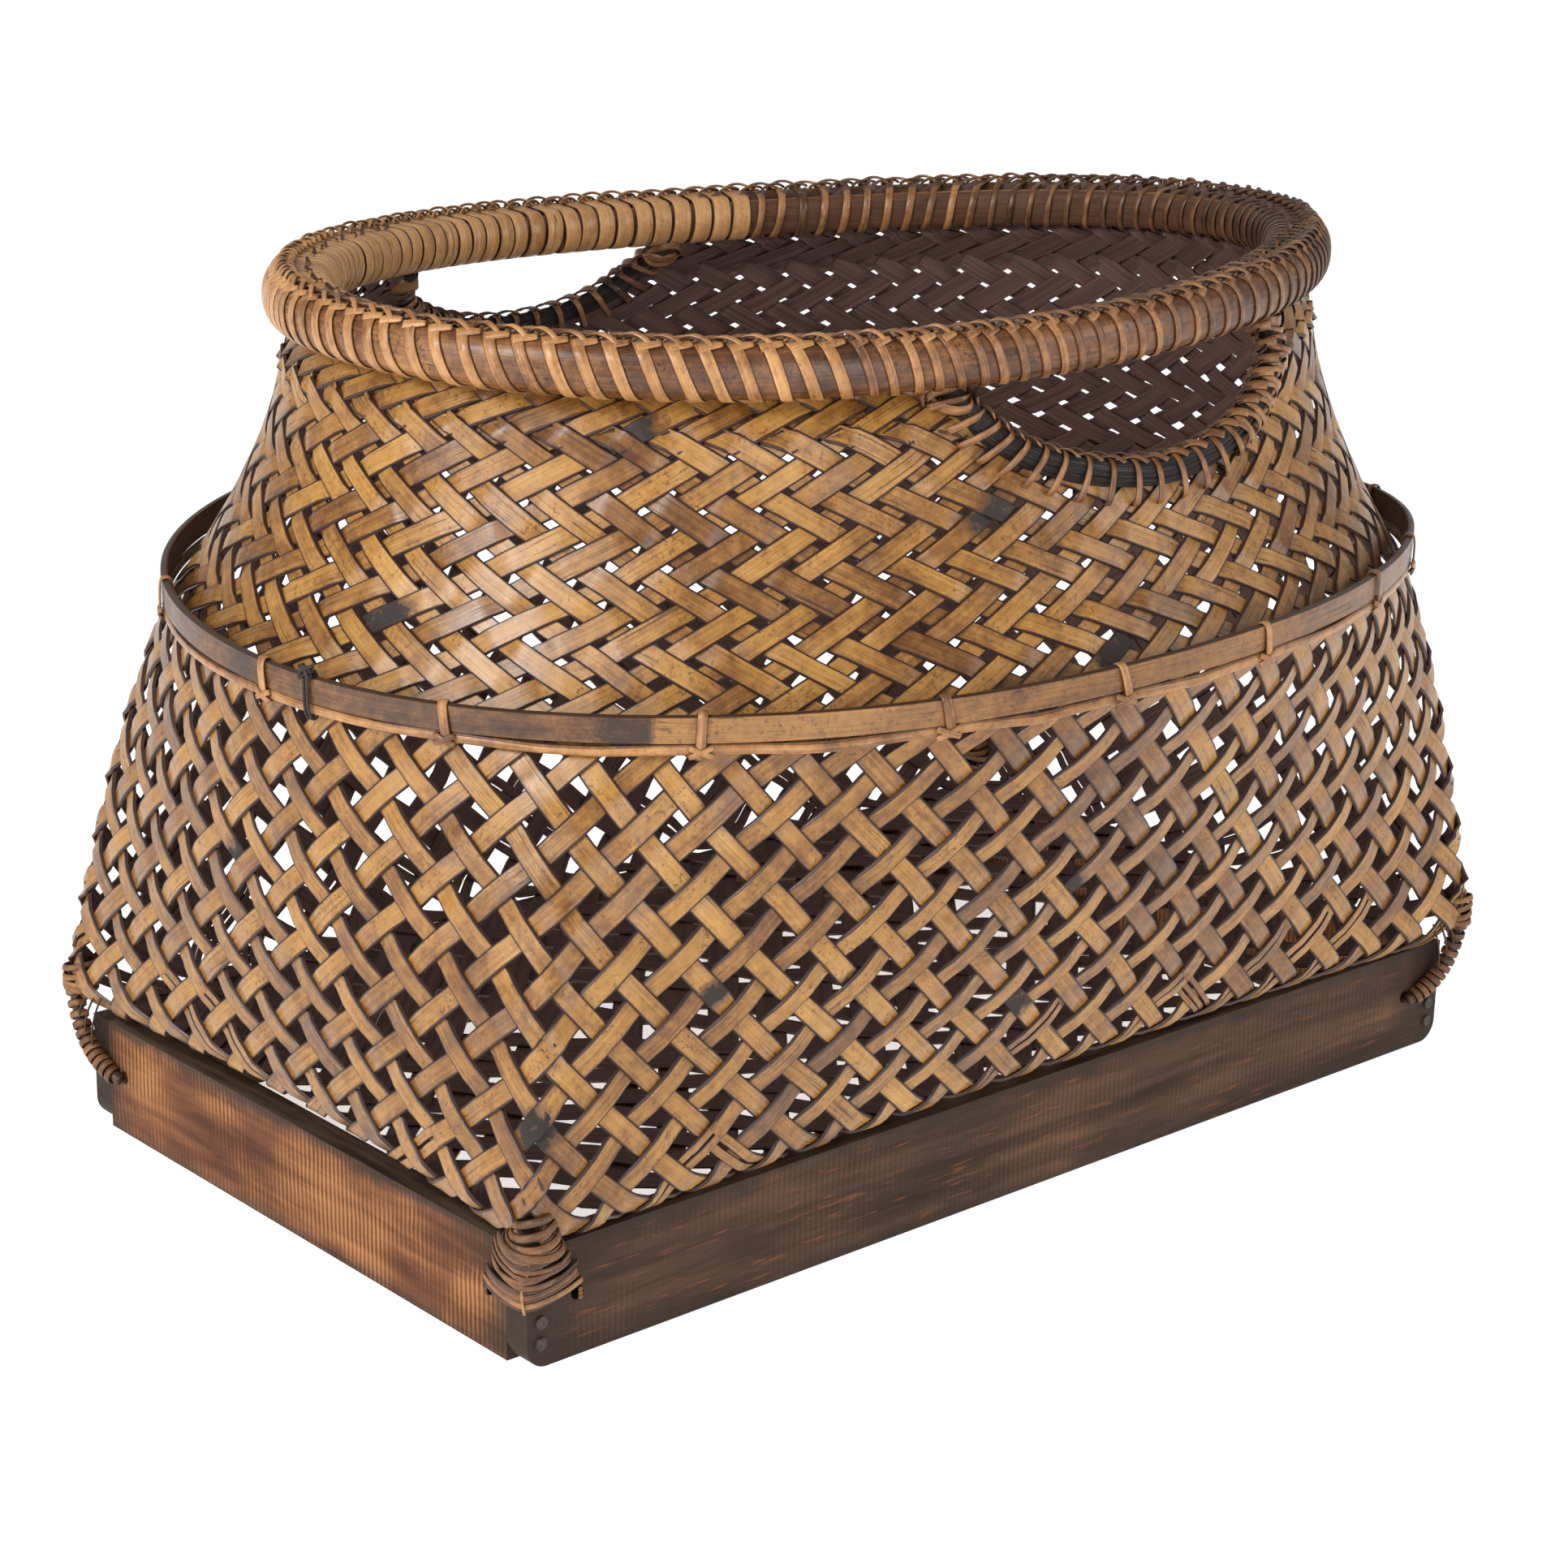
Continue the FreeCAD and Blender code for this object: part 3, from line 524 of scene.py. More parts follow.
def board_material(name, axis, colours, ripple, fleck):
    """Old sawn plank: saw ripples across it, dark worn ends, a darker band along the bottom, and painted
    shade along the top edge and over the top face.
    """
    shader = Shader(name)
    place = shader.position()
    split = shader.node("SeparateXYZ", place)
    run, up = split.outputs[axis], split.outputs[2]
    end = (FRAME_X if axis == 0 else FRAME_Y) / 1000
    stretch = (12, 150, 150) if axis == 0 else (150, 12, 150)
    grain = shader.noise(shader.stretch(place, stretch), 1.0, 5, 0.6, 0.3)
    broad = shader.noise(place, 14, 3)
    saw = shader.times(run, TAU / SAW_PITCH)
    saw = shader.plus(saw, shader.times(shader.noise(place, 30, 2), 9.0))
    saw = shader.math("MULTIPLY_ADD", shader.math("SINE", saw), 0.5, 0.5)
    mask = shader.span(shader.noise(place, 26, 3), 0.32, 0.62)
    level = shader.plus(shader.times(grain, 0.66), shader.times(broad, 0.34))
    wave = shader.times(shader.times(saw, mask), ripple)
    level = shader.plus(shader.minus(level, 0.5 * ripple), wave)
    colour = shader.ramp(level, *zip((0.25, 0.42, 0.56, 0.72), colours))
    red = shader.noise(shader.stretch(place, tuple(5 * part for part in stretch)), 1.0, 3)
    colour = shader.mix(shader.times(shader.span(red, 0.60, 0.70), fleck), colour, (0.24, 0.075, 0.03))
    top = BOARD_TOP / 1000
    wobble = shader.times(shader.minus(shader.noise(place, 60, 3), 0.5), 0.012)
    height = shader.plus(up, wobble)
    # Painted shade: the sides darken along the top edge, under the body. They also darken along the bottom
    # and towards the worn ends.
    dark = shader.math("MAXIMUM", shader.span(height, top - 0.007, top - 0.0005),
                       shader.span(height, 0.008, 0.0, 0.0, 0.75))
    reach = shader.plus(shader.math("ABSOLUTE", run), shader.times(wobble, 3.0))
    dark = shader.math("MAXIMUM", dark, shader.span(reach, end - 0.034, end - 0.006))
    colour = shader.mix(shader.times(dark, 0.86), colour, (0.028, 0.019, 0.014))
    facing = shader.node("SeparateXYZ", shader.node("NewGeometry").outputs["Normal"])
    # Painted shade: faces that point up turn dark grey-brown over the grain, as the shade of the body above
    # the boards.
    top_face_shade = shader.span(facing.outputs[2], 0.5, 0.8)
    top_shade_colour = shader.mix(shader.span(grain, 0.35, 0.7), (0.020, 0.013, 0.009), (0.105, 0.074, 0.048))
    colour = shader.mix(top_face_shade, colour, top_shade_colour)
    if axis == 0:
        butt = shader.span(shader.math("ABSOLUTE", facing.outputs[0]), 0.5, 0.8)
        colour = shader.mix(shader.times(butt, 0.8), colour, (0.035, 0.022, 0.015))
    relief = shader.plus(shader.times(grain, 0.8), shader.times(wave, 0.9))
    return shader.finish(colour, shader.span(grain, 0.3, 0.7, 0.74, 0.6), relief, 0.0005, 0.7, 0.2)


def plain_material(name, low, high, roughness, scale):
    shader = Shader(name)
    grit = shader.noise(shader.position(), scale, 5, 0.65)
    return shader.finish(shader.mix(shader.span(grit, 0.35, 0.65), low, high), roughness, grit, 0.0003, 0.7)


# ---- the woven body ----

def row_state(row):
    """+1 where a left-leaning strip passes outside the other, -1 where it passes inside."""
    def state(number):
        plain = 1 - 2 * np.mod(number, 2)
        twill = np.where(np.mod(number, 4) < 2, 1, -1)
        return np.where(number < OPEN_ROWS, plain, twill)
    base = np.floor(row)
    share = np.clip((row - base - 0.22) / 0.56, 0, 1)
    share = share * share * (3 - 2 * share)
    return state(base) * (1 - share) + state(base + 1) * share


def strip_ends():
    """Both ends of every strip, as places round the foot, with its crossings under the floor."""
    ends = []
    half_turn = STRIPS // 2
    across = 2 * SHORT_STRIPS
    for number in range(LONG_STRIPS):
        place = number + 0.5
        if number < LONG_STRIPS - SHORT_STRIPS:
            ends.append((0, place, half_turn + LONG_STRIPS - (place + SHORT_STRIPS), across))
            ends.append((1, LONG_STRIPS - place, half_turn + (place + SHORT_STRIPS), across))
        else:
            short = LONG_STRIPS - place
            ends.append((0, place, LONG_STRIPS + short, int(2 * short)))
            ends.append((1, LONG_STRIPS - place, STRIPS - short, int(2 * short)))
    for number in range(SHORT_STRIPS):
        place = number + 0.5
        rest = SHORT_STRIPS - place
        ends.append((0, STRIPS - place, half_turn + LONG_STRIPS - rest, int(2 * rest)))
        ends.append((1, LONG_STRIPS + place, half_turn + rest, int(2 * rest)))
    return ends


def in_opening(points):
    """True where the wall is cut away for a hand opening."""
    inside = np.zeros(len(points), bool)
    for side, (middle, half, depth) in OPENINGS.items():
        x = (points[:, 0] - middle) / half
        z = np.minimum((points[:, 2] - COLLAR_Z) / depth, 0)
        inside |= (points[:, 1] * side > 0) & (points[:, 2] > COLLAR_Z - depth) & (x * x + z * z < 1)
    return inside


class Leg:
    """One strip's run up a wall: rows from the floor's edge to the rim."""

    def __init__(self, start, leans_left, fold):
        self.rows = np.arange(-fold, ALL_ROWS - 0.2, 1 / ROW_SAMPLES)
        drift = wander(len(self.rows), 0.03, 14) * np.clip(self.rows / 2, 0, 1)
        step = self.rows / 2
        self.places = (start - step if leans_left else start + step) + drift
        self.points = surface(self.places, self.rows)
        self.normals = surface_normal(self.places, self.rows)
        self.state = row_state(self.rows) * (1 if leans_left else -1)

    def scorch(self, family):
        """1 along the strip where it's burnt, 0 elsewhere."""
        soot = np.zeros(len(self.rows))
        for which, place, row, half in SCORCHED:
            if which != family:
                continue
            index = np.abs(self.rows - row).argmin()
            off = (self.places[index] - place + STRIPS / 2) % STRIPS - STRIPS / 2
            if abs(off) < 0.5:
                soot = np.maximum(soot, np.clip(1.5 - np.abs(self.rows - row) / half, 0, 1))
        return soot


def split_lanes(count):
    """Offsets and widths, in half widths, of the threads of a split strip."""
    if count == 2:
        return ((-0.58, 0.44), (0.52, 0.5))
    return ((-0.78, 0.28), (-0.05, 0.3), (0.74, 0.28))


def plait(family):
    """All the strips of one direction, in two pieces; each runs down one wall, across and up another."""
    pieces = (Piece(), Piece())
    for number, (which, first, second, crossings) in enumerate(strip_ends()):
        if which == family:
            lay_strip(pieces[number // 2 % 2], family, first, second, crossings)
    return pieces


def lay_strip(piece, family, first, second, crossings):
    fold = min(FOLD_ROWS, crossings / 2)
    straight = crossings == 2 * SHORT_STRIPS
    if first > LONG_STRIPS:
        leans = (family == 1, family == 0)
    else:
        leans = (family == 0, (family == 0) if straight else (family == 1))
    near, far = Leg(first, leans[0], fold), Leg(second, leans[1], fold)
    count = max(int(2 * ROW_SAMPLES * (crossings / 2 - fold)), 2)
    share = np.linspace(0, 1, count + 1)[1:-1, None]
    floor = near.points[0] * (1 - share) + far.points[0] * share
    turns = fold + share[:, 0] * (crossings - 2 * fold)
    start_sign = np.sign(np.interp(0.0, near.rows, near.state))
    down = np.tile([[0.0, 0.0, -1.0]], (len(floor), 1))
    blank = np.zeros(len(floor))
    points = np.concatenate([near.points[::-1], floor, far.points])
    normals = np.concatenate([near.normals[::-1], down, far.normals])
    state = np.concatenate([near.state[::-1], start_sign * np.cos(math.pi * turns), far.state])
    height = np.concatenate([near.rows[::-1], blank - 2, far.rows])
    soot = np.concatenate([near.scorch(family)[::-1], blank, far.scorch(family)])
    path = points - normals * (SHELL / 2 - 0.7 * state)[:, None]
    half_width = random.normal(STRIP_HALF, 0.13) + np.clip(OPEN_ROWS - height, 0, 3) * 0.07
    ends = len(near.points), len(near.points) + len(floor)
    half_width[slice(*ends)] += FLOOR_EXTRA * np.sin(share[:, 0] * math.pi) ** 0.4
    half_width = half_width + wander(len(path), 0.1, 10)
    tone = random.normal(0, 0.5)
    near_split, far_split = random.choice(SPLIT_ROWS, 2, p=SPLIT_ODDS)
    split = np.where(np.arange(len(path)) < len(near.rows), near_split, far_split)
    threads = (height < split) & (height > -1.9)
    keep = ~in_opening(points)
    for run in spans(keep & ~threads):
        piece.sweep(path[run], normals[run], half_width[run], STRIP_THICK / 2, STRIP,
                    tone=tone, soot=soot[run])
    for run in spans(keep & widen(threads)):
        for offset, width in split_lanes(random.choice([2, 2, 2, 3])):
            waver = wander(len(run), 0.25, 9)
            piece.sweep(path[run], normals[run], half_width[run] * width, STRIP_THICK / 2.3, STRIP,
                        tone=tone + random.normal(0, 0.2), shift=half_width[run] * offset + waver)


def spans(mask):
    """Runs of indices where the mask holds, long enough to sweep."""
    edges = np.flatnonzero(np.diff(mask.astype(int))) + 1
    return [run for run in np.split(np.arange(len(mask)), edges) if mask[run[0]] and len(run) > 5]


def widen(mask):
    """The mask grown by two samples each way, so that split threads start under the whole strip."""
    wide = mask.copy()
    for step in (1, 2):
        wide[step:] |= mask[:-step]
        wide[:-step] |= mask[step:]
    return wide


# ---- the rim ----

def rim_point(angle, out, z):
    return beside(MOUTH, angle, out, z)[0]


def flat_normal(angle):
    return at_height(oval_run(MOUTH, angle)[0], 0)


# Pole and inner hoop: half sizes (out, up), and their middles' distances out from the mouth's line.
POLE_HALF = (6.35, 8.5)
HOOP_HALF = (3.0, 7.0)
POLE_OUT = POLE_HIGH[0] - MOUTH[0] - 6.5
INNER_OUT = INNER_HIGH[0] - MOUTH[0] - 3.0
POLE_Z = (POLE_LOW[2] + POLE_HIGH[2]) / 2
RIM_Z = POLE_Z + 0.2
POLE_POWER = 2.3

# Half the thickness of the flat cane that binds rim, rods and band.
CANE_HALF = 0.42

# Colour of the rim pole round its length, as (degrees, tone). The dark dip from about 300 to 340 degrees is
# painted shade between the lashes at the right end.
POLE_TONE_AND_SHADE = ((0, 1.5), (38, 1.5), (52, 0.2), (88, 0.3), (130, 0.9), (180, 0.2), (235, -0.6), (262, -0.6),
              (300, -0.9), (318, -1.6), (338, -1.0), (348, 1.3), (360, 1.5))


def closed_ring(name, material, node, out, half, profile):
    """A pole or hoop round the whole rim."""
    piece = Piece()
    angle = circle(360)
    swell = 1 + 0.005 * (np.sin(5 * angle + 1) + np.sin(13 * angle) * 0.6 + np.sin(29 * angle + 2) * 0.4)
    piece.sweep(rim_point(angle, out, RIM_Z), flat_normal(angle), half[1] * swell, half[0] * swell, profile,
                closed=True)
    # The tones carry painted shade at the right end of the rim.
    tone = np.interp(np.degrees(angle), *zip(*POLE_TONE_AND_SHADE)) + wander(360, 0.35, 9)
    piece.values["tone"] = [np.repeat(tone, len(profile))]
    piece.build(name, material, "rim_pole", node)


# How the rim is bound round its length, from each angle in degrees on: (angle, pitch, lash width, lean, knot
# length, tone), sizes in mm. The tones are the cane's own colour, raised from 66 to 168 degrees as painted
# light on the inward-facing far-left turns.
RIM_BINDING = ((0, 8.6, 2.4, 4, 3.8, -1.2), (32, 9.4, 3.2, 6, 4.2, -0.2), (66, 9.2, 7.9, 3, 4.6, 1.9),
               (96, 8.2, 7.3, 3, 4.8, 1.9), (130, 5.8, 5.0, 6, 5.2, 1.7), (168, 8.4, 4.5, 9, 6.4, 0.5),
               (190, 9.5, 4.3, 13, 7.2, 0.4), (238, 7.8, 3.3, 11, 5.0, -0.3), (262, 9.2, 3.0, 8, 4.8, -0.8),
               (295, 7.6, 2.7, 5, 4.6, -1.7), (330, 7.8, 2.6, 4, 4.2, -1.9))


def rim_turns():
    """Every turn round the rim: angle, mm per radian, pitch, width, lean, knot length and tone."""
    turns = []
    angle = 0.0
    while angle < TAU - 0.02:
        spec = [row for row in RIM_BINDING if row[0] <= math.degrees(angle)][-1]
        speed = float(oval_run(MOUTH, np.array(angle))[1]) + POLE_OUT
        turns.append((angle, speed, *spec[1:]))
        jitter = 0.16 if 236 < math.degrees(angle) < 300 else 0.05
        angle += spec[1] * (1 + random.uniform(-jitter, jitter)) / speed
    return turns


def wrap(count, gap, *sections):
    """A taut loop round one or more sections in the (out, up) plane, from its top outward and down.

    Each section is (middle, half sizes, power). Also gives the loop's normals, and its tilt, which runs
    evenly from -0.5 at the top to 0.5 at the bottom and back.
    """
    outline = np.concatenate([middle + np.array(half) * ring_profile(180, power)
                              for middle, half, power in sections])
    phase = math.pi / 2 - np.arange(180) * TAU / 180
    heading = np.stack([np.cos(phase), np.sin(phase)], -1)
    hull = outline[np.argmax(outline @ heading.T, axis=0)] + gap * heading
    hull = np.concatenate([hull, hull[:1]])
    run = np.concatenate([[0], np.cumsum(np.linalg.norm(np.diff(hull, axis=0), axis=1))])
    even = np.arange(count) * run[-1] / count
    loop = np.stack([np.interp(even, run, hull[:, axis]) for axis in (0, 1)], -1)
    tangent = unit(np.roll(loop, -1, 0) - np.roll(loop, 1, 0))
    normal = np.stack([-tangent[:, 1], tangent[:, 0]], -1)
    return loop, normal, 0.5 - np.abs(2 * np.arange(count) / count - 1)


# The binding's path round the rim: close round the pole, rounder over the inner hoop.
RIM_LOOP = wrap(44, CANE_HALF, ((POLE_OUT, RIM_Z), POLE_HALF, POLE_POWER),
                ((INNER_OUT + 2.2, RIM_Z), (5.6, 7.9), 2.0))


def rim_top(out):
    """Height of the top of the binding at a distance out from the mouth line."""
    loop = RIM_LOOP[0]
    upper = loop[loop[:, 1] > POLE_Z + 2]
    order = np.argsort(upper[:, 0])
    return np.interp(out, upper[order, 0], upper[order, 1])


def rim_lashes(turns, material):
    lashes = Piece()
    loop, normal, tilt = RIM_LOOP
    for angle, speed, _, width, lean, _, tone in turns:
        lean = lean + random.normal(0, 0.9)
        angles = angle + tilt * lean / speed
        path = rim_point(angles, loop[:, 0], loop[:, 1])
        # The tone carries painted light on the far-left turns.
        lashes.sweep(path, stand_up(flat_normal(angles), normal), width / 2 + wander(len(path), 0.07, 6),
                     CANE_HALF, closed=True, tone=tone + random.normal(0, 0.4))
    lashes.build("rim_turns", material, "cane", "rim_lashing")


# The two strands that each turn arches along the rim: (rise, start in pitches, distance out at the start and
# at the end, shade). The shade darkens the lower, second strand as painted shade, for the shadow it lies in.
KNOT_STRANDS = ((2.1, -0.95, 4.5, 9.6, 0.0), (1.5, -0.45, 7.2, 3.0, -0.8))


def rim_knots(turns, material):
    """The plaited edge on top of the rim: each turn's end arches along it and folds down over the next."""
    knots = Piece()
    up = np.array([0, 0, 1.0])
    share = np.linspace(0, 1, 13)
    for angle, speed, pitch, width, lean, knot, tone in turns:
        start = -0.32 * lean + random.normal(0, 0.25)
        angles = angle + (start - 0.5 * width - 0.3 + knot * share) / speed
        out = 10.7 - 2.0 * share
        path = rim_point(angles, out, rim_top(out) + 0.5)
        face = up * 0.8 + flat_normal(angles)
        knots.sweep(path, face, 1.65 - 0.6 * share ** 2, 0.5, tone=tone + random.normal(0.3, 0.4))
        for rise, begin, inner, outer, shade in KNOT_STRANDS:
            angles = angle + (start + pitch * (begin + 1.1 * share)) / speed
            out = inner + (outer - inner) * share + random.normal(0, 0.2)
            arch = np.sin(share * math.pi) ** 0.8
            path = rim_point(angles, out, rim_top(out) + 0.5 + rise * random.uniform(0.8, 1.15) * arch)
            face = up + flat_normal(angles) * (1.7 * share - 0.5)[:, None]
            # Painted shade: the second strand is darkened for the shadow it lies in.
            knots.sweep(path, face, 0.95, 0.5, tone=tone + shade + random.normal(0, 0.4))
    knots.build("rim_knots", material, "cane", "rim_braid")


# ---- the hand openings ----

def opening_track(side, angle, grow):
    """Places on the weave's middle surface along an opening's edge, and the wall's normals there."""
    middle, half, depth = OPENINGS[side]
    x = middle + (half + grow) * np.cos(angle)
    shallow = 1 - 0.1 * np.clip(-np.cos(angle), 0, 1) * (side < 0)
    z = COLLAR_Z + (depth * shallow + grow) * np.sin(angle)
    a, b = (edge - SHELL / 2 for edge in upper_half(z))
    y = side * b * np.sqrt(1 - (x / a) ** 2)
    normal = unit(np.stack([x / a ** 2, y / b ** 2, np.zeros_like(x)], -1))
    return np.stack([x, y, z], -1), normal


def edge_frame(side, angle):
    """Rod place, outward normal and the direction away from the opening, along its edge."""
    base, out = opening_track(side, angle, 0.0)
    away = unit(opening_track(side, angle, 1.0)[0] - base)
    return base, out, away


ROD_SAMPLES = 120
ROD_FIBRES = 14
TURN_PITCH = 4.7
TURN_RADIUS = 5.3


def rod_rope(side, rod_look, name):
    """A rod of dark fibres that follows the opening's lower edge."""
    rod = Piece()
    angle = np.radians(np.linspace(177, 363, ROD_SAMPLES))
    path, out, away = edge_frame(side, angle)
    path = path + out * 0.6
    radius = ROD_SIZE / 2 - 0.3 + wander(ROD_SAMPLES, 0.12, 8)
    rod.sweep(path, out, radius, radius * 0.92, ring_profile(18), tone=0.3)
    for start in circle(ROD_FIBRES):
        phase = start + random.uniform(-0.2, 0.2) + wander(ROD_SAMPLES, 0.12, 12)
        offset = out * np.cos(phase)[:, None] + away * np.sin(phase)[:, None]
        rod.sweep(path + offset * (radius * 0.93)[:, None], offset, 1.05, 0.4, tone=random.normal(0, 0.6))
    rod.build("handle_rod_" + name + "_look", rod_look, "dark_rod", "handle_rod_" + name)


def rod_turn(lashes, side, place, lean, reach, width, tone):
    """One turn of cane round the rod, from the opening's edge down into the weave."""
    phase = circle(30)
    here = place + 0.5 * lean * np.cos(phase)
    base, out, away = edge_frame(side, here)
    depth = np.where(np.sin(phase) > 0, reach, TURN_RADIUS)
    loop = out * (np.cos(phase) * TURN_RADIUS + 0.6)[:, None] + away * (np.sin(phase) * depth)[:, None]
    face = out * np.cos(phase)[:, None] + away * (np.sin(phase) * 0.7)[:, None]
    lashes.sweep(base + loop, face, width / 2 + wander(30, 0.08, 5), CANE_HALF, closed=True, tone=tone)


def rod_knot(lashes, side, place, size, tone):
    """A small folded band on the opening's edge, with a dark strand arching to the next."""
    share = np.linspace(-1, 1, 9)
    base, out, away = edge_frame(side, place + share * 0.55 * size / OPENINGS[side][1] * side)
    arch = 1 - share ** 2
    path = base + out * (2.4 - 3.4 * share)[:, None] - away * (4.8 + 1.5 * arch)[:, None]
    lashes.sweep(path, out * 0.6 - away, size * 0.42, CANE_HALF, tone=tone)
    base, out, away = edge_frame(side, place + (share + 1) * 0.5 * 11.0 / OPENINGS[side][1] * side)
    path = base + out * (0.4 - 1.5 * share)[:, None] - away * (4.9 + 2.3 * arch)[:, None]
    lashes.sweep(path, -away, 0.6, 0.38, tone=-2.2)


def handle(side, name, rod_look, lash_look):
    """The rod of one hand opening (side -1 in front, 1 at the back) and the cane that binds it."""
    rod_rope(side, rod_look, name)
    lashes = Piece()
    count = int(round(1.32 * OPENINGS[side][1] / TURN_PITCH))
    for number in range(count):
        turned = 188 + 164 * number / (count - 1) + random.normal(0, 0.5)
        place = math.radians(turned if side < 0 else 540 - turned)
        tone = random.normal(0.1, 0.45)
        steep = number > 0.62 * count
        rod_turn(lashes, side, place, 0.055 * side, 7.5 if steep else 10.5, 2.7, tone)
        if steep:
            rod_turn(lashes, side, place, -0.15 * side, 6.6, 2.2, tone - 0.5)
        rod_knot(lashes, side, place, 4.2 if steep else 4.8, tone)
    end = math.radians(184.5 if side < 0 else 355.5)
    for lean, reach in ((0.16, 9.0), (-0.2, 8.0), (0.3, 11.0)):
        rod_turn(lashes, side, end, lean * side, reach, 3.4, 0.4)
    rod_turn(lashes, side, math.radians(353 if side < 0 else 187), 0.02, 8.0, 6.5, 0.4)
    lashes.build("handle_turns_" + name, lash_look, "cane", "handle_lashing_" + name)


# ---- the band round the belly ----

# Places round the band, in degrees: its ties, the tallest tie, and the string.
TIES = (12, 38, 65, 92, 120, 157, 183.5, 204, 225.5, 245, 260.5, 276, 295, 310, 335)
TALL_TIE = 225.5
STRING_AT = math.radians(189.5)

# Colour of the band round its length, as (degrees, tone).
BAND_TONES = ((0, -0.6), (150, -1.1), (200, -1.2), (212, -1.0), (217.2, -0.9), (217.8, -2.6), (221.4, -2.4),
              (221.9, 1.6), (244, 1.6), (250, 0.4), (275, 0.5), (300, 0.2), (330, -0.4), (360, -0.5))
BAND_SAMPLES = 480


def belly_band(look):
    angle = circle(BAND_SAMPLES)
    tone = np.interp(np.degrees(angle), *zip(*BAND_TONES)) + wander(BAND_SAMPLES, 0.3, 12)
    band = Piece()
    path, face = beside(BAND, angle, 0.0, BAND_Z + 0.25 * np.sin(7 * angle))
    band.sweep(path, face, *BAND_HALF, STRIP, closed=True, tone=tone)
    band.build("belly_band", look, "hoop_bamboo", "mid_hoop")


def band_cane(look):
    """The cane under the band, which sags between the ties, and a dark thread beside it."""
    cane = Piece()
    angle = circle(BAND_SAMPLES)
    gap = np.min(np.abs((np.degrees(angle)[:, None] - np.array(TIES) + 180) % 360 - 180), axis=1)
    sag = np.clip(gap / 8, 0, 1) ** 2
    middle = (CANE_LOW[2] + CANE_HIGH[2]) / 2
    droop = 1.6 * sag * (0.6 + 0.4 * np.sin(3 * angle + 1))
    path, face = beside(BAND, angle, 0.1 - 0.3 * sag, middle - droop)
    cane.sweep(path, face, 1.75, 1.2, ring_profile(8, 2.6), closed=True, tone=0.2)
    path, face = beside(BAND, angle, 0.5 + 0.3 * np.sin(9 * angle), middle + 1.5 - 0.9 * sag)
    cane.sweep(path, face, 0.55, 0.5, ring_profile(6), closed=True, tone=-1.5)
    cane.build("band_cane", look, "cane", "hoop_cane")


def band_ties(look):
    """A flat loop of cane at each tie, with two short bands crossed over it."""
    ties = Piece()
    share = np.linspace(-1, 1, 9)
    for place in TIES:
        at = math.radians(place)
        extra = 1.6 if place == TALL_TIE else 0.75
        loop, normal, tilt = wrap(26, 0.0, ((0.0, (BAND_HIGH[2] + CANE_LOW[2]) / 2),
                                            (2.3, (BAND_HIGH[2] - CANE_LOW[2]) / 2 + extra), 3.2))
        path, face = beside(BAND, at + tilt * math.radians(random.normal(0.5, 0.35)), loop[:, 0], loop[:, 1])
        ties.sweep(path, stand_up(face, normal), 1.7, CANE_HALF, closed=True, tone=random.normal(0.2, 0.4))
        for turn in (-1, 1):
            path, face = beside(BAND, at + np.radians(share * 0.95), 1.9 + 0.9 * (1 - share ** 2),
                                CANE_LOW[2] + 1.2 + turn * share * 1.6)
            ties.sweep(path, face, 1.05, 0.45, tone=random.normal(0, 0.4))
    ties.build("band_ties", look, "cane", "hoop_ties")


def band_string(look):
    """A string tied twice round the band, with its knot on top and two short ends."""
    string = Piece()
    profile = ring_profile(6)
    loop, normal, tilt = wrap(26, 0.0, ((0.0, BAND_Z - 2), (2.5, 8.0), 2.8))
    for offset in (-0.25, 0.2):
        path, face = beside(BAND, STRING_AT + np.radians(offset + 0.3 * tilt), loop[:, 0], loop[:, 1])
        string.sweep(path, stand_up(face, normal), 0.55, 0.5, profile, closed=True)
    knot_z = BAND_HIGH[2] + 1.4
    phase = np.linspace(0, 3 * TAU, 64, endpoint=False)
    path, face = beside(BAND, STRING_AT + np.radians(0.55 * np.cos(phase)),
                        2.6 + 1.1 * np.sin(phase * 2 / 3), knot_z + 2.0 * np.sin(phase * 1.34))
    string.sweep(path, face, 0.6, 0.6, profile)
    share = np.linspace(0, 1, 8)
    for lean, reach in ((0.9, 5.0), (-0.7, 3.6)):
        path, face = beside(BAND, STRING_AT + np.radians(lean * share), 2.6 + 1.2 * np.sin(share * 3),
                            knot_z + reach * share * (1 - 0.5 * share))
        string.sweep(path, face, 0.5, 0.5, profile)
    string.build("band_string", look, "string", "string_tie")


# ---- the corners ----

FAN_TURNS = 13


def fan_turns(piece, corner):
    """Flat turns one above the other round the frame's edge, shorter towards the top."""
    t = np.linspace(-1, 1, 25)
    wing = np.abs(t)
    inward = -0.55 * (1 - wing)
    outward = unit(np.stack([np.where(t < 0, -1, inward), np.where(t > 0, -1, inward)], -1))
    for number, level in enumerate(np.linspace(25.0, 46.0, FAN_TURNS)):
        share = number / (FAN_TURNS - 1)
        reach = 21.0 - 9.5 * share + random.normal(0, 0.8)
        bow = 3.0 + 2.2 * math.sin(share * 2.4)
        swell = bow * (1 - wing ** 2.2) + 1.0
        xy = corner + np.stack([np.maximum(t, 0), np.maximum(-t, 0)], -1) * reach + outward * swell[:, None]
        tilt = random.normal(0, 1.7)
        z = level - 1.6 * (1 - wing ** 2) + tilt * t + random.normal(0, 0.3)
        piece.sweep(at_height(xy, z), at_height(outward, 0), random.uniform(0.75, 1.5), 0.5,
                    tone=random.normal(0.2, 0.9))


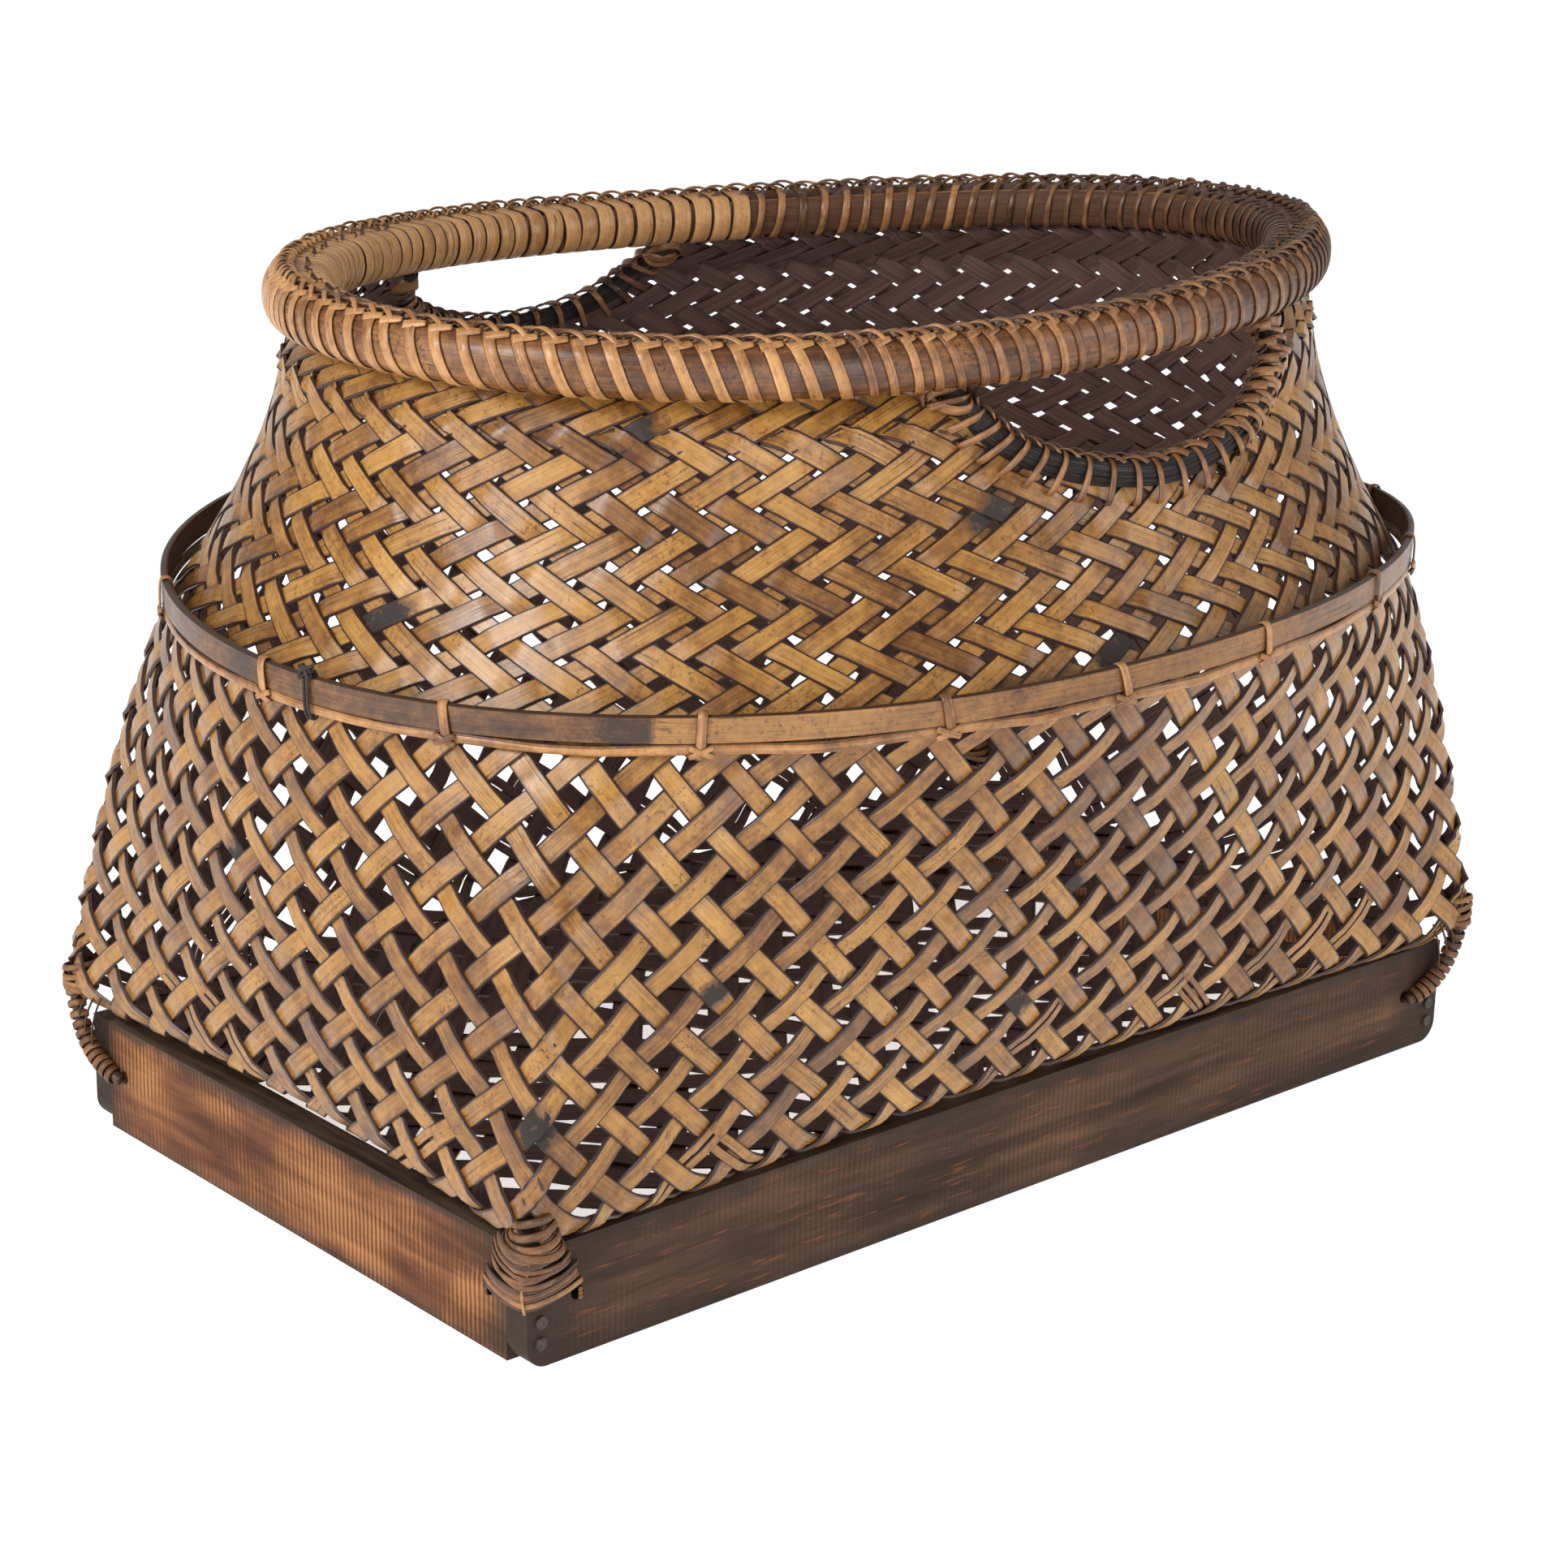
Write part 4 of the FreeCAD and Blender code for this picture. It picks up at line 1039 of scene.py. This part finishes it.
def fan_threads(piece, corner):
    """Two thin fibres up the middle of the fan."""
    share = np.linspace(0, 1, 14)[:, None]
    for start, end in (((0.4, 0.4, 9), (0.8, 0.6, 27)), ((1.5, 0.2, 16), (5.5, 0.2, 25))):
        path = np.append(corner, 0) + np.array(start) * (1 - share) + np.array(end) * share
        path = path + np.sin(share * 5) * np.array([-0.5, 0.9, 0.5]) + np.array([-4.5, -4.5, 14])
        piece.sweep(path, (-1, -1, 0), 0.55, 0.4, tone=1.8)


def fan_ends(piece, corner):
    """The turns' ends, which go into the holes of the two boards."""
    share = np.linspace(0, 1, 8)
    for out_axis in (0, 1):
        face = np.array([0, 0, 0.1])
        face[out_axis] = -1
        for number in range(3):
            path = np.stack([share, share, 22.0 + 1.4 * (number - 1) - 1.2 * share], -1)
            path[:, out_axis] = corner[out_axis] - (1.4 * (1 - share) - 0.6)
            path[:, 1 - out_axis] = corner[1 - out_axis] + (20.0 + 2.5 * share)
            piece.sweep(path, face, 0.8, 0.4)


def corner_fan(look):
    """Front left corner: turns that bow round the frame's edge from hole to hole, up to the body's ear."""
    piece = Piece()
    corner = np.array([-FRAME_X, -FRAME_Y])
    fan_turns(piece, corner)
    ear = np.array([-FOOT[0] + 5, -FOOT[1] + 4, FOOT_TOP + 1.0])
    phase = circle(28)
    for number in range(4):
        size = 9.5 - 1.3 * number
        middle = ear + np.array([0.5, 0.5, -7.5 + 2.6 * number])
        ring = at_height(oval((size, size), phase), 1.8 * np.sin(phase + number))
        piece.sweep(middle + ring, at_height(oval((1, 1), phase), 0.4), 1.35, 0.55, closed=True,
                    tone=random.normal(0.2, 0.6))
    fan_threads(piece, corner)
    fan_ends(piece, corner)
    piece.build("corner_turns_front_left", look, "corner_fibre", "corner_lashing_front_left", warp=False)


def read_along(values, places):
    """Values of a path at places from 0 to 1 along it."""
    grid = np.linspace(0, 1, len(values))
    return np.stack([np.interp(places, grid, values[:, axis]) for axis in range(3)], -1)


def corner_spiral(name, side_x, side_y, on_short, look):
    """A bound core that runs from the body's ear down over the corner to the frame's hole."""
    def off_board(out, along, z):
        """A point out from the board that has the hole, and along it from the corner."""
        x, y = (out, -along) if on_short else (-along, out)
        return np.array([side_x * (FRAME_X + x), side_y * (FRAME_Y + y), z])

    piece = Piece()
    ear = np.array([side_x * (FOOT[0] - 3), side_y * (FOOT[1] - 3), FOOT_TOP + 3])
    edge = np.array([side_x * (FRAME_X + 4.5), side_y * (FRAME_Y + 3.5), 34.0])
    middle, hole = off_board(5.2, 6, 26.0), off_board(1.0, 19, 21.0)
    s = np.linspace(0, 1, 80)[:, None]
    core = (1 - s) ** 3 * ear + 3 * (1 - s) ** 2 * s * edge + 3 * (1 - s) * s * s * middle + s ** 3 * hole
    normal = np.array([side_x, side_y, 0.15])
    piece.sweep(core, normal, 2.3, 2.1, ring_profile(10), tone=-0.8)
    tangent = unit(np.gradient(core, axis=0))
    first = square_to(normal, tangent)
    second = np.cross(tangent, first)
    phase = circle(22)
    for number in range(12):
        places = 0.05 + 0.86 * number / 11 + 0.012 * np.sin(phase)
        around = (unit(read_along(first, places)) * np.cos(phase)[:, None]
                  + unit(read_along(second, places)) * np.sin(phase)[:, None])
        piece.sweep(read_along(core, places) + around * 3.0, around, 1.35, 0.5, closed=True,
                    tone=random.normal(0.1, 0.5))
    share = np.linspace(0, 1, 16)[:, None]
    for number in range(5):
        lower = core[8 + 11 * number] + normal * 0.5
        upper = ear + np.array([side_x * 0.5, side_y * (-4 - 4.0 * number), -5.0] if on_short
                               else [side_x * (-3 - 4.0 * number), side_y, -4.0])
        thread = lower * (1 - share) + upper * share
        thread = thread + np.array([side_x, side_y, 0]) * 1.2 * np.sin(share * math.pi)
        piece.sweep(thread, (side_x, side_y, 0.2), 0.5, 0.4, tone=-0.6)
    phase = circle(20)
    for number in range(4):
        ring = at_height(oval((6, 6), phase) - np.array([side_x, side_y]) * 2,
                         -5 + 2.4 * number + 1.5 * np.sin(phase + number))
        piece.sweep(ear + ring, at_height(oval((1, 1), phase), 0.3), 1.2, 0.5, closed=True,
                    tone=random.normal(0.3, 0.5))
    piece.build("corner_turns_" + name, look, "corner_fibre", "corner_lashing_" + name, warp=False)


# ---- stage, light and camera ----

FLOOR_SIZE = 80
FLOOR_GLOW = 0.67
SKY_STRENGTH = 0.40


def make_stage():
    bpy.ops.mesh.primitive_plane_add(size=FLOOR_SIZE, location=(0, 0, 0))
    floor = bpy.context.object
    floor.name = "floor"
    shader = Shader("floor_white")
    shader.principled.inputs["Emission Color"].default_value = (1, 1, 1, 1)
    shader.principled.inputs["Emission Strength"].default_value = FLOOR_GLOW
    floor.data.materials.append(shader.finish((0.82, 0.82, 0.82), 0.9))


# Soft square lamps: (name, place, height aimed at, size, power), in metres and watts.
LAMPS = (("key", (-1.62, -0.62, 1.42), 0.15, 0.95, 11), ("gleam", (-1.9, -0.2, 1.25), 0.2, 0.5, 16),
         ("side", (-2.4, 0.1, 0.45), 0.15, 1.2, 14), ("front", (-0.7, -2.2, 0.35), 0.15, 1.2, 16),
         ("right", (1.5, -1.9, 0.9), 0.2, 1.2, 14))

# The photograph's viewpoint: place in metres, then yaw, pitch and roll in degrees, and the lens in mm.
CAMERA_PLACE = (-0.83038, -0.92722, 0.52142)
CAMERA_TURN = (48.36, -18.0, 1.16)
CAMERA_LENS = 80.75


def hang(name, data, place, right, up, back):
    """Puts a lamp or camera at a place, with its own axes pointing right, up and back."""
    holder = bpy.data.objects.new(name, data)
    bpy.context.scene.collection.objects.link(holder)
    turn = Matrix(np.stack([right, up, back], -1).tolist()).to_4x4()
    holder.matrix_world = Matrix.Translation(place) @ turn
    return holder


def make_lamp(name, place, aim, size, power):
    lamp = bpy.data.lights.new(name, "AREA")
    lamp.size = size
    lamp.energy = power
    back = unit(np.array(place) - np.array([0, 0, aim]))
    right = unit(np.cross([0, 0, 1.0], back))
    hang(name, lamp, place, right, np.cross(back, right), back)


def make_camera():
    yaw, pitch, roll = np.radians(CAMERA_TURN)
    look = np.array([math.cos(pitch) * math.cos(yaw), math.cos(pitch) * math.sin(yaw), math.sin(pitch)])
    level = np.array([math.sin(yaw), -math.cos(yaw), 0])
    rise = np.cross(level, look)
    right = level * math.cos(roll) + rise * math.sin(roll)
    up = rise * math.cos(roll) - level * math.sin(roll)
    camera = bpy.data.cameras.new("camera")
    camera.lens = CAMERA_LENS
    camera.sensor_width = 36.0
    camera.clip_start = 0.05
    bpy.context.scene.camera = hang("camera", camera, CAMERA_PLACE, right, up, -look)


def make_world():
    world = bpy.data.worlds.new("studio")
    world.use_nodes = True
    sky = world.node_tree.nodes["Background"]
    sky.inputs[0].default_value = (1, 1, 1, 1)
    sky.inputs[1].default_value = SKY_STRENGTH
    bpy.context.scene.world = world
    bpy.context.scene.view_settings.view_transform = "Standard"


def dress_frame():
    """Wood for the CAD boards and dark iron for the nails."""
    long_wood = board_material("board_long", 0, LONG_WOOD, 0.12, 0.5)
    short_wood = board_material("board_short", 1, SHORT_WOOD, 0.36, 0.2)
    iron = plain_material("iron", (0.012, 0.010, 0.009), (0.06, 0.035, 0.022), 0.6, 700)
    for node, material in (("long_board_front", long_wood), ("long_board_back", long_wood),
                           ("short_board_left", short_wood), ("short_board_right", short_wood),
                           ("board_nails", iron)):
        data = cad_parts[node].data
        data.materials.clear()
        data.materials.append(material)


def main():
    strip_look = bamboo_material("strip_bamboo", GOLD, INSIDE)
    cane_look = bamboo_material("split_cane", CANE, (0.20, 0.11, 0.06), width=0.0024, gloss=0.26,
                                edge=(0.10, 0.05, 0.03), edge_from=0.86, specks=0.5)
    red_look = bamboo_material("red_cane", RED_CANE, (0.12, 0.065, 0.04), width=0.0014, gloss=0.26,
                               edge=(0.06, 0.03, 0.02), edge_from=0.86, specks=0.5)
    pole_look = bamboo_material("pole_wood", POLE, POLE[1], width=0.009, gloss=0.28, edge=POLE[0],
                                edge_from=NO_EDGE, specks=1.5)
    hoop_look = bamboo_material("hoop_bamboo_look", HOOP, POLE[1], width=0.0045, gloss=0.25,
                                edge=(0.04, 0.02, 0.012), edge_from=0.9, specks=0.8)
    fibre_look = bamboo_material("corner_fibre_look", FIBRE, (0.06, 0.028, 0.014), width=0.0013, gloss=0.45,
                                 edge=(0.030, 0.012, 0.006), edge_from=0.82, specks=0.6)
    rod_look = rod_material("charred_fibre", (0.012, 0.010, 0.010), (0.055, 0.047, 0.043))
    string_look = plain_material("dark_string", (0.010, 0.009, 0.008), (0.045, 0.036, 0.030), 0.8, 1500)

    for family in (0, 1):
        for half, piece in enumerate(plait(family)):
            name = "plait_%s_%s" % (("left_leaning", "right_leaning")[family], ("a", "b")[half])
            piece.build(name, strip_look, "bamboo_strip", "woven_body")
    closed_ring("rim_pole_look", pole_look, "outer_rim_pole", POLE_OUT, POLE_HALF,
                ring_profile(28, POLE_POWER))
    closed_ring("inner_hoop_look", pole_look, "inner_rim_hoop", INNER_OUT, HOOP_HALF, ring_profile(20, 2.2))
    turns = rim_turns()
    rim_lashes(turns, cane_look)
    rim_knots(turns, cane_look)
    handle(-1, "front", rod_look, red_look)
    handle(1, "back", rod_look, red_look)
    belly_band(hoop_look)
    band_cane(cane_look)
    band_ties(cane_look)
    band_string(string_look)
    corner_fan(fibre_look)
    corner_spiral("front_right", 1, -1, False, fibre_look)
    corner_spiral("back_left", -1, 1, True, fibre_look)
    corner_spiral("back_right", 1, 1, False, fibre_look)
    dress_frame()
    make_stage()
    make_world()
    for lamp in LAMPS:
        make_lamp(*lamp)
    make_camera()


def plain(box):
    return [[float(value) for value in corner] for corner in box]


main()
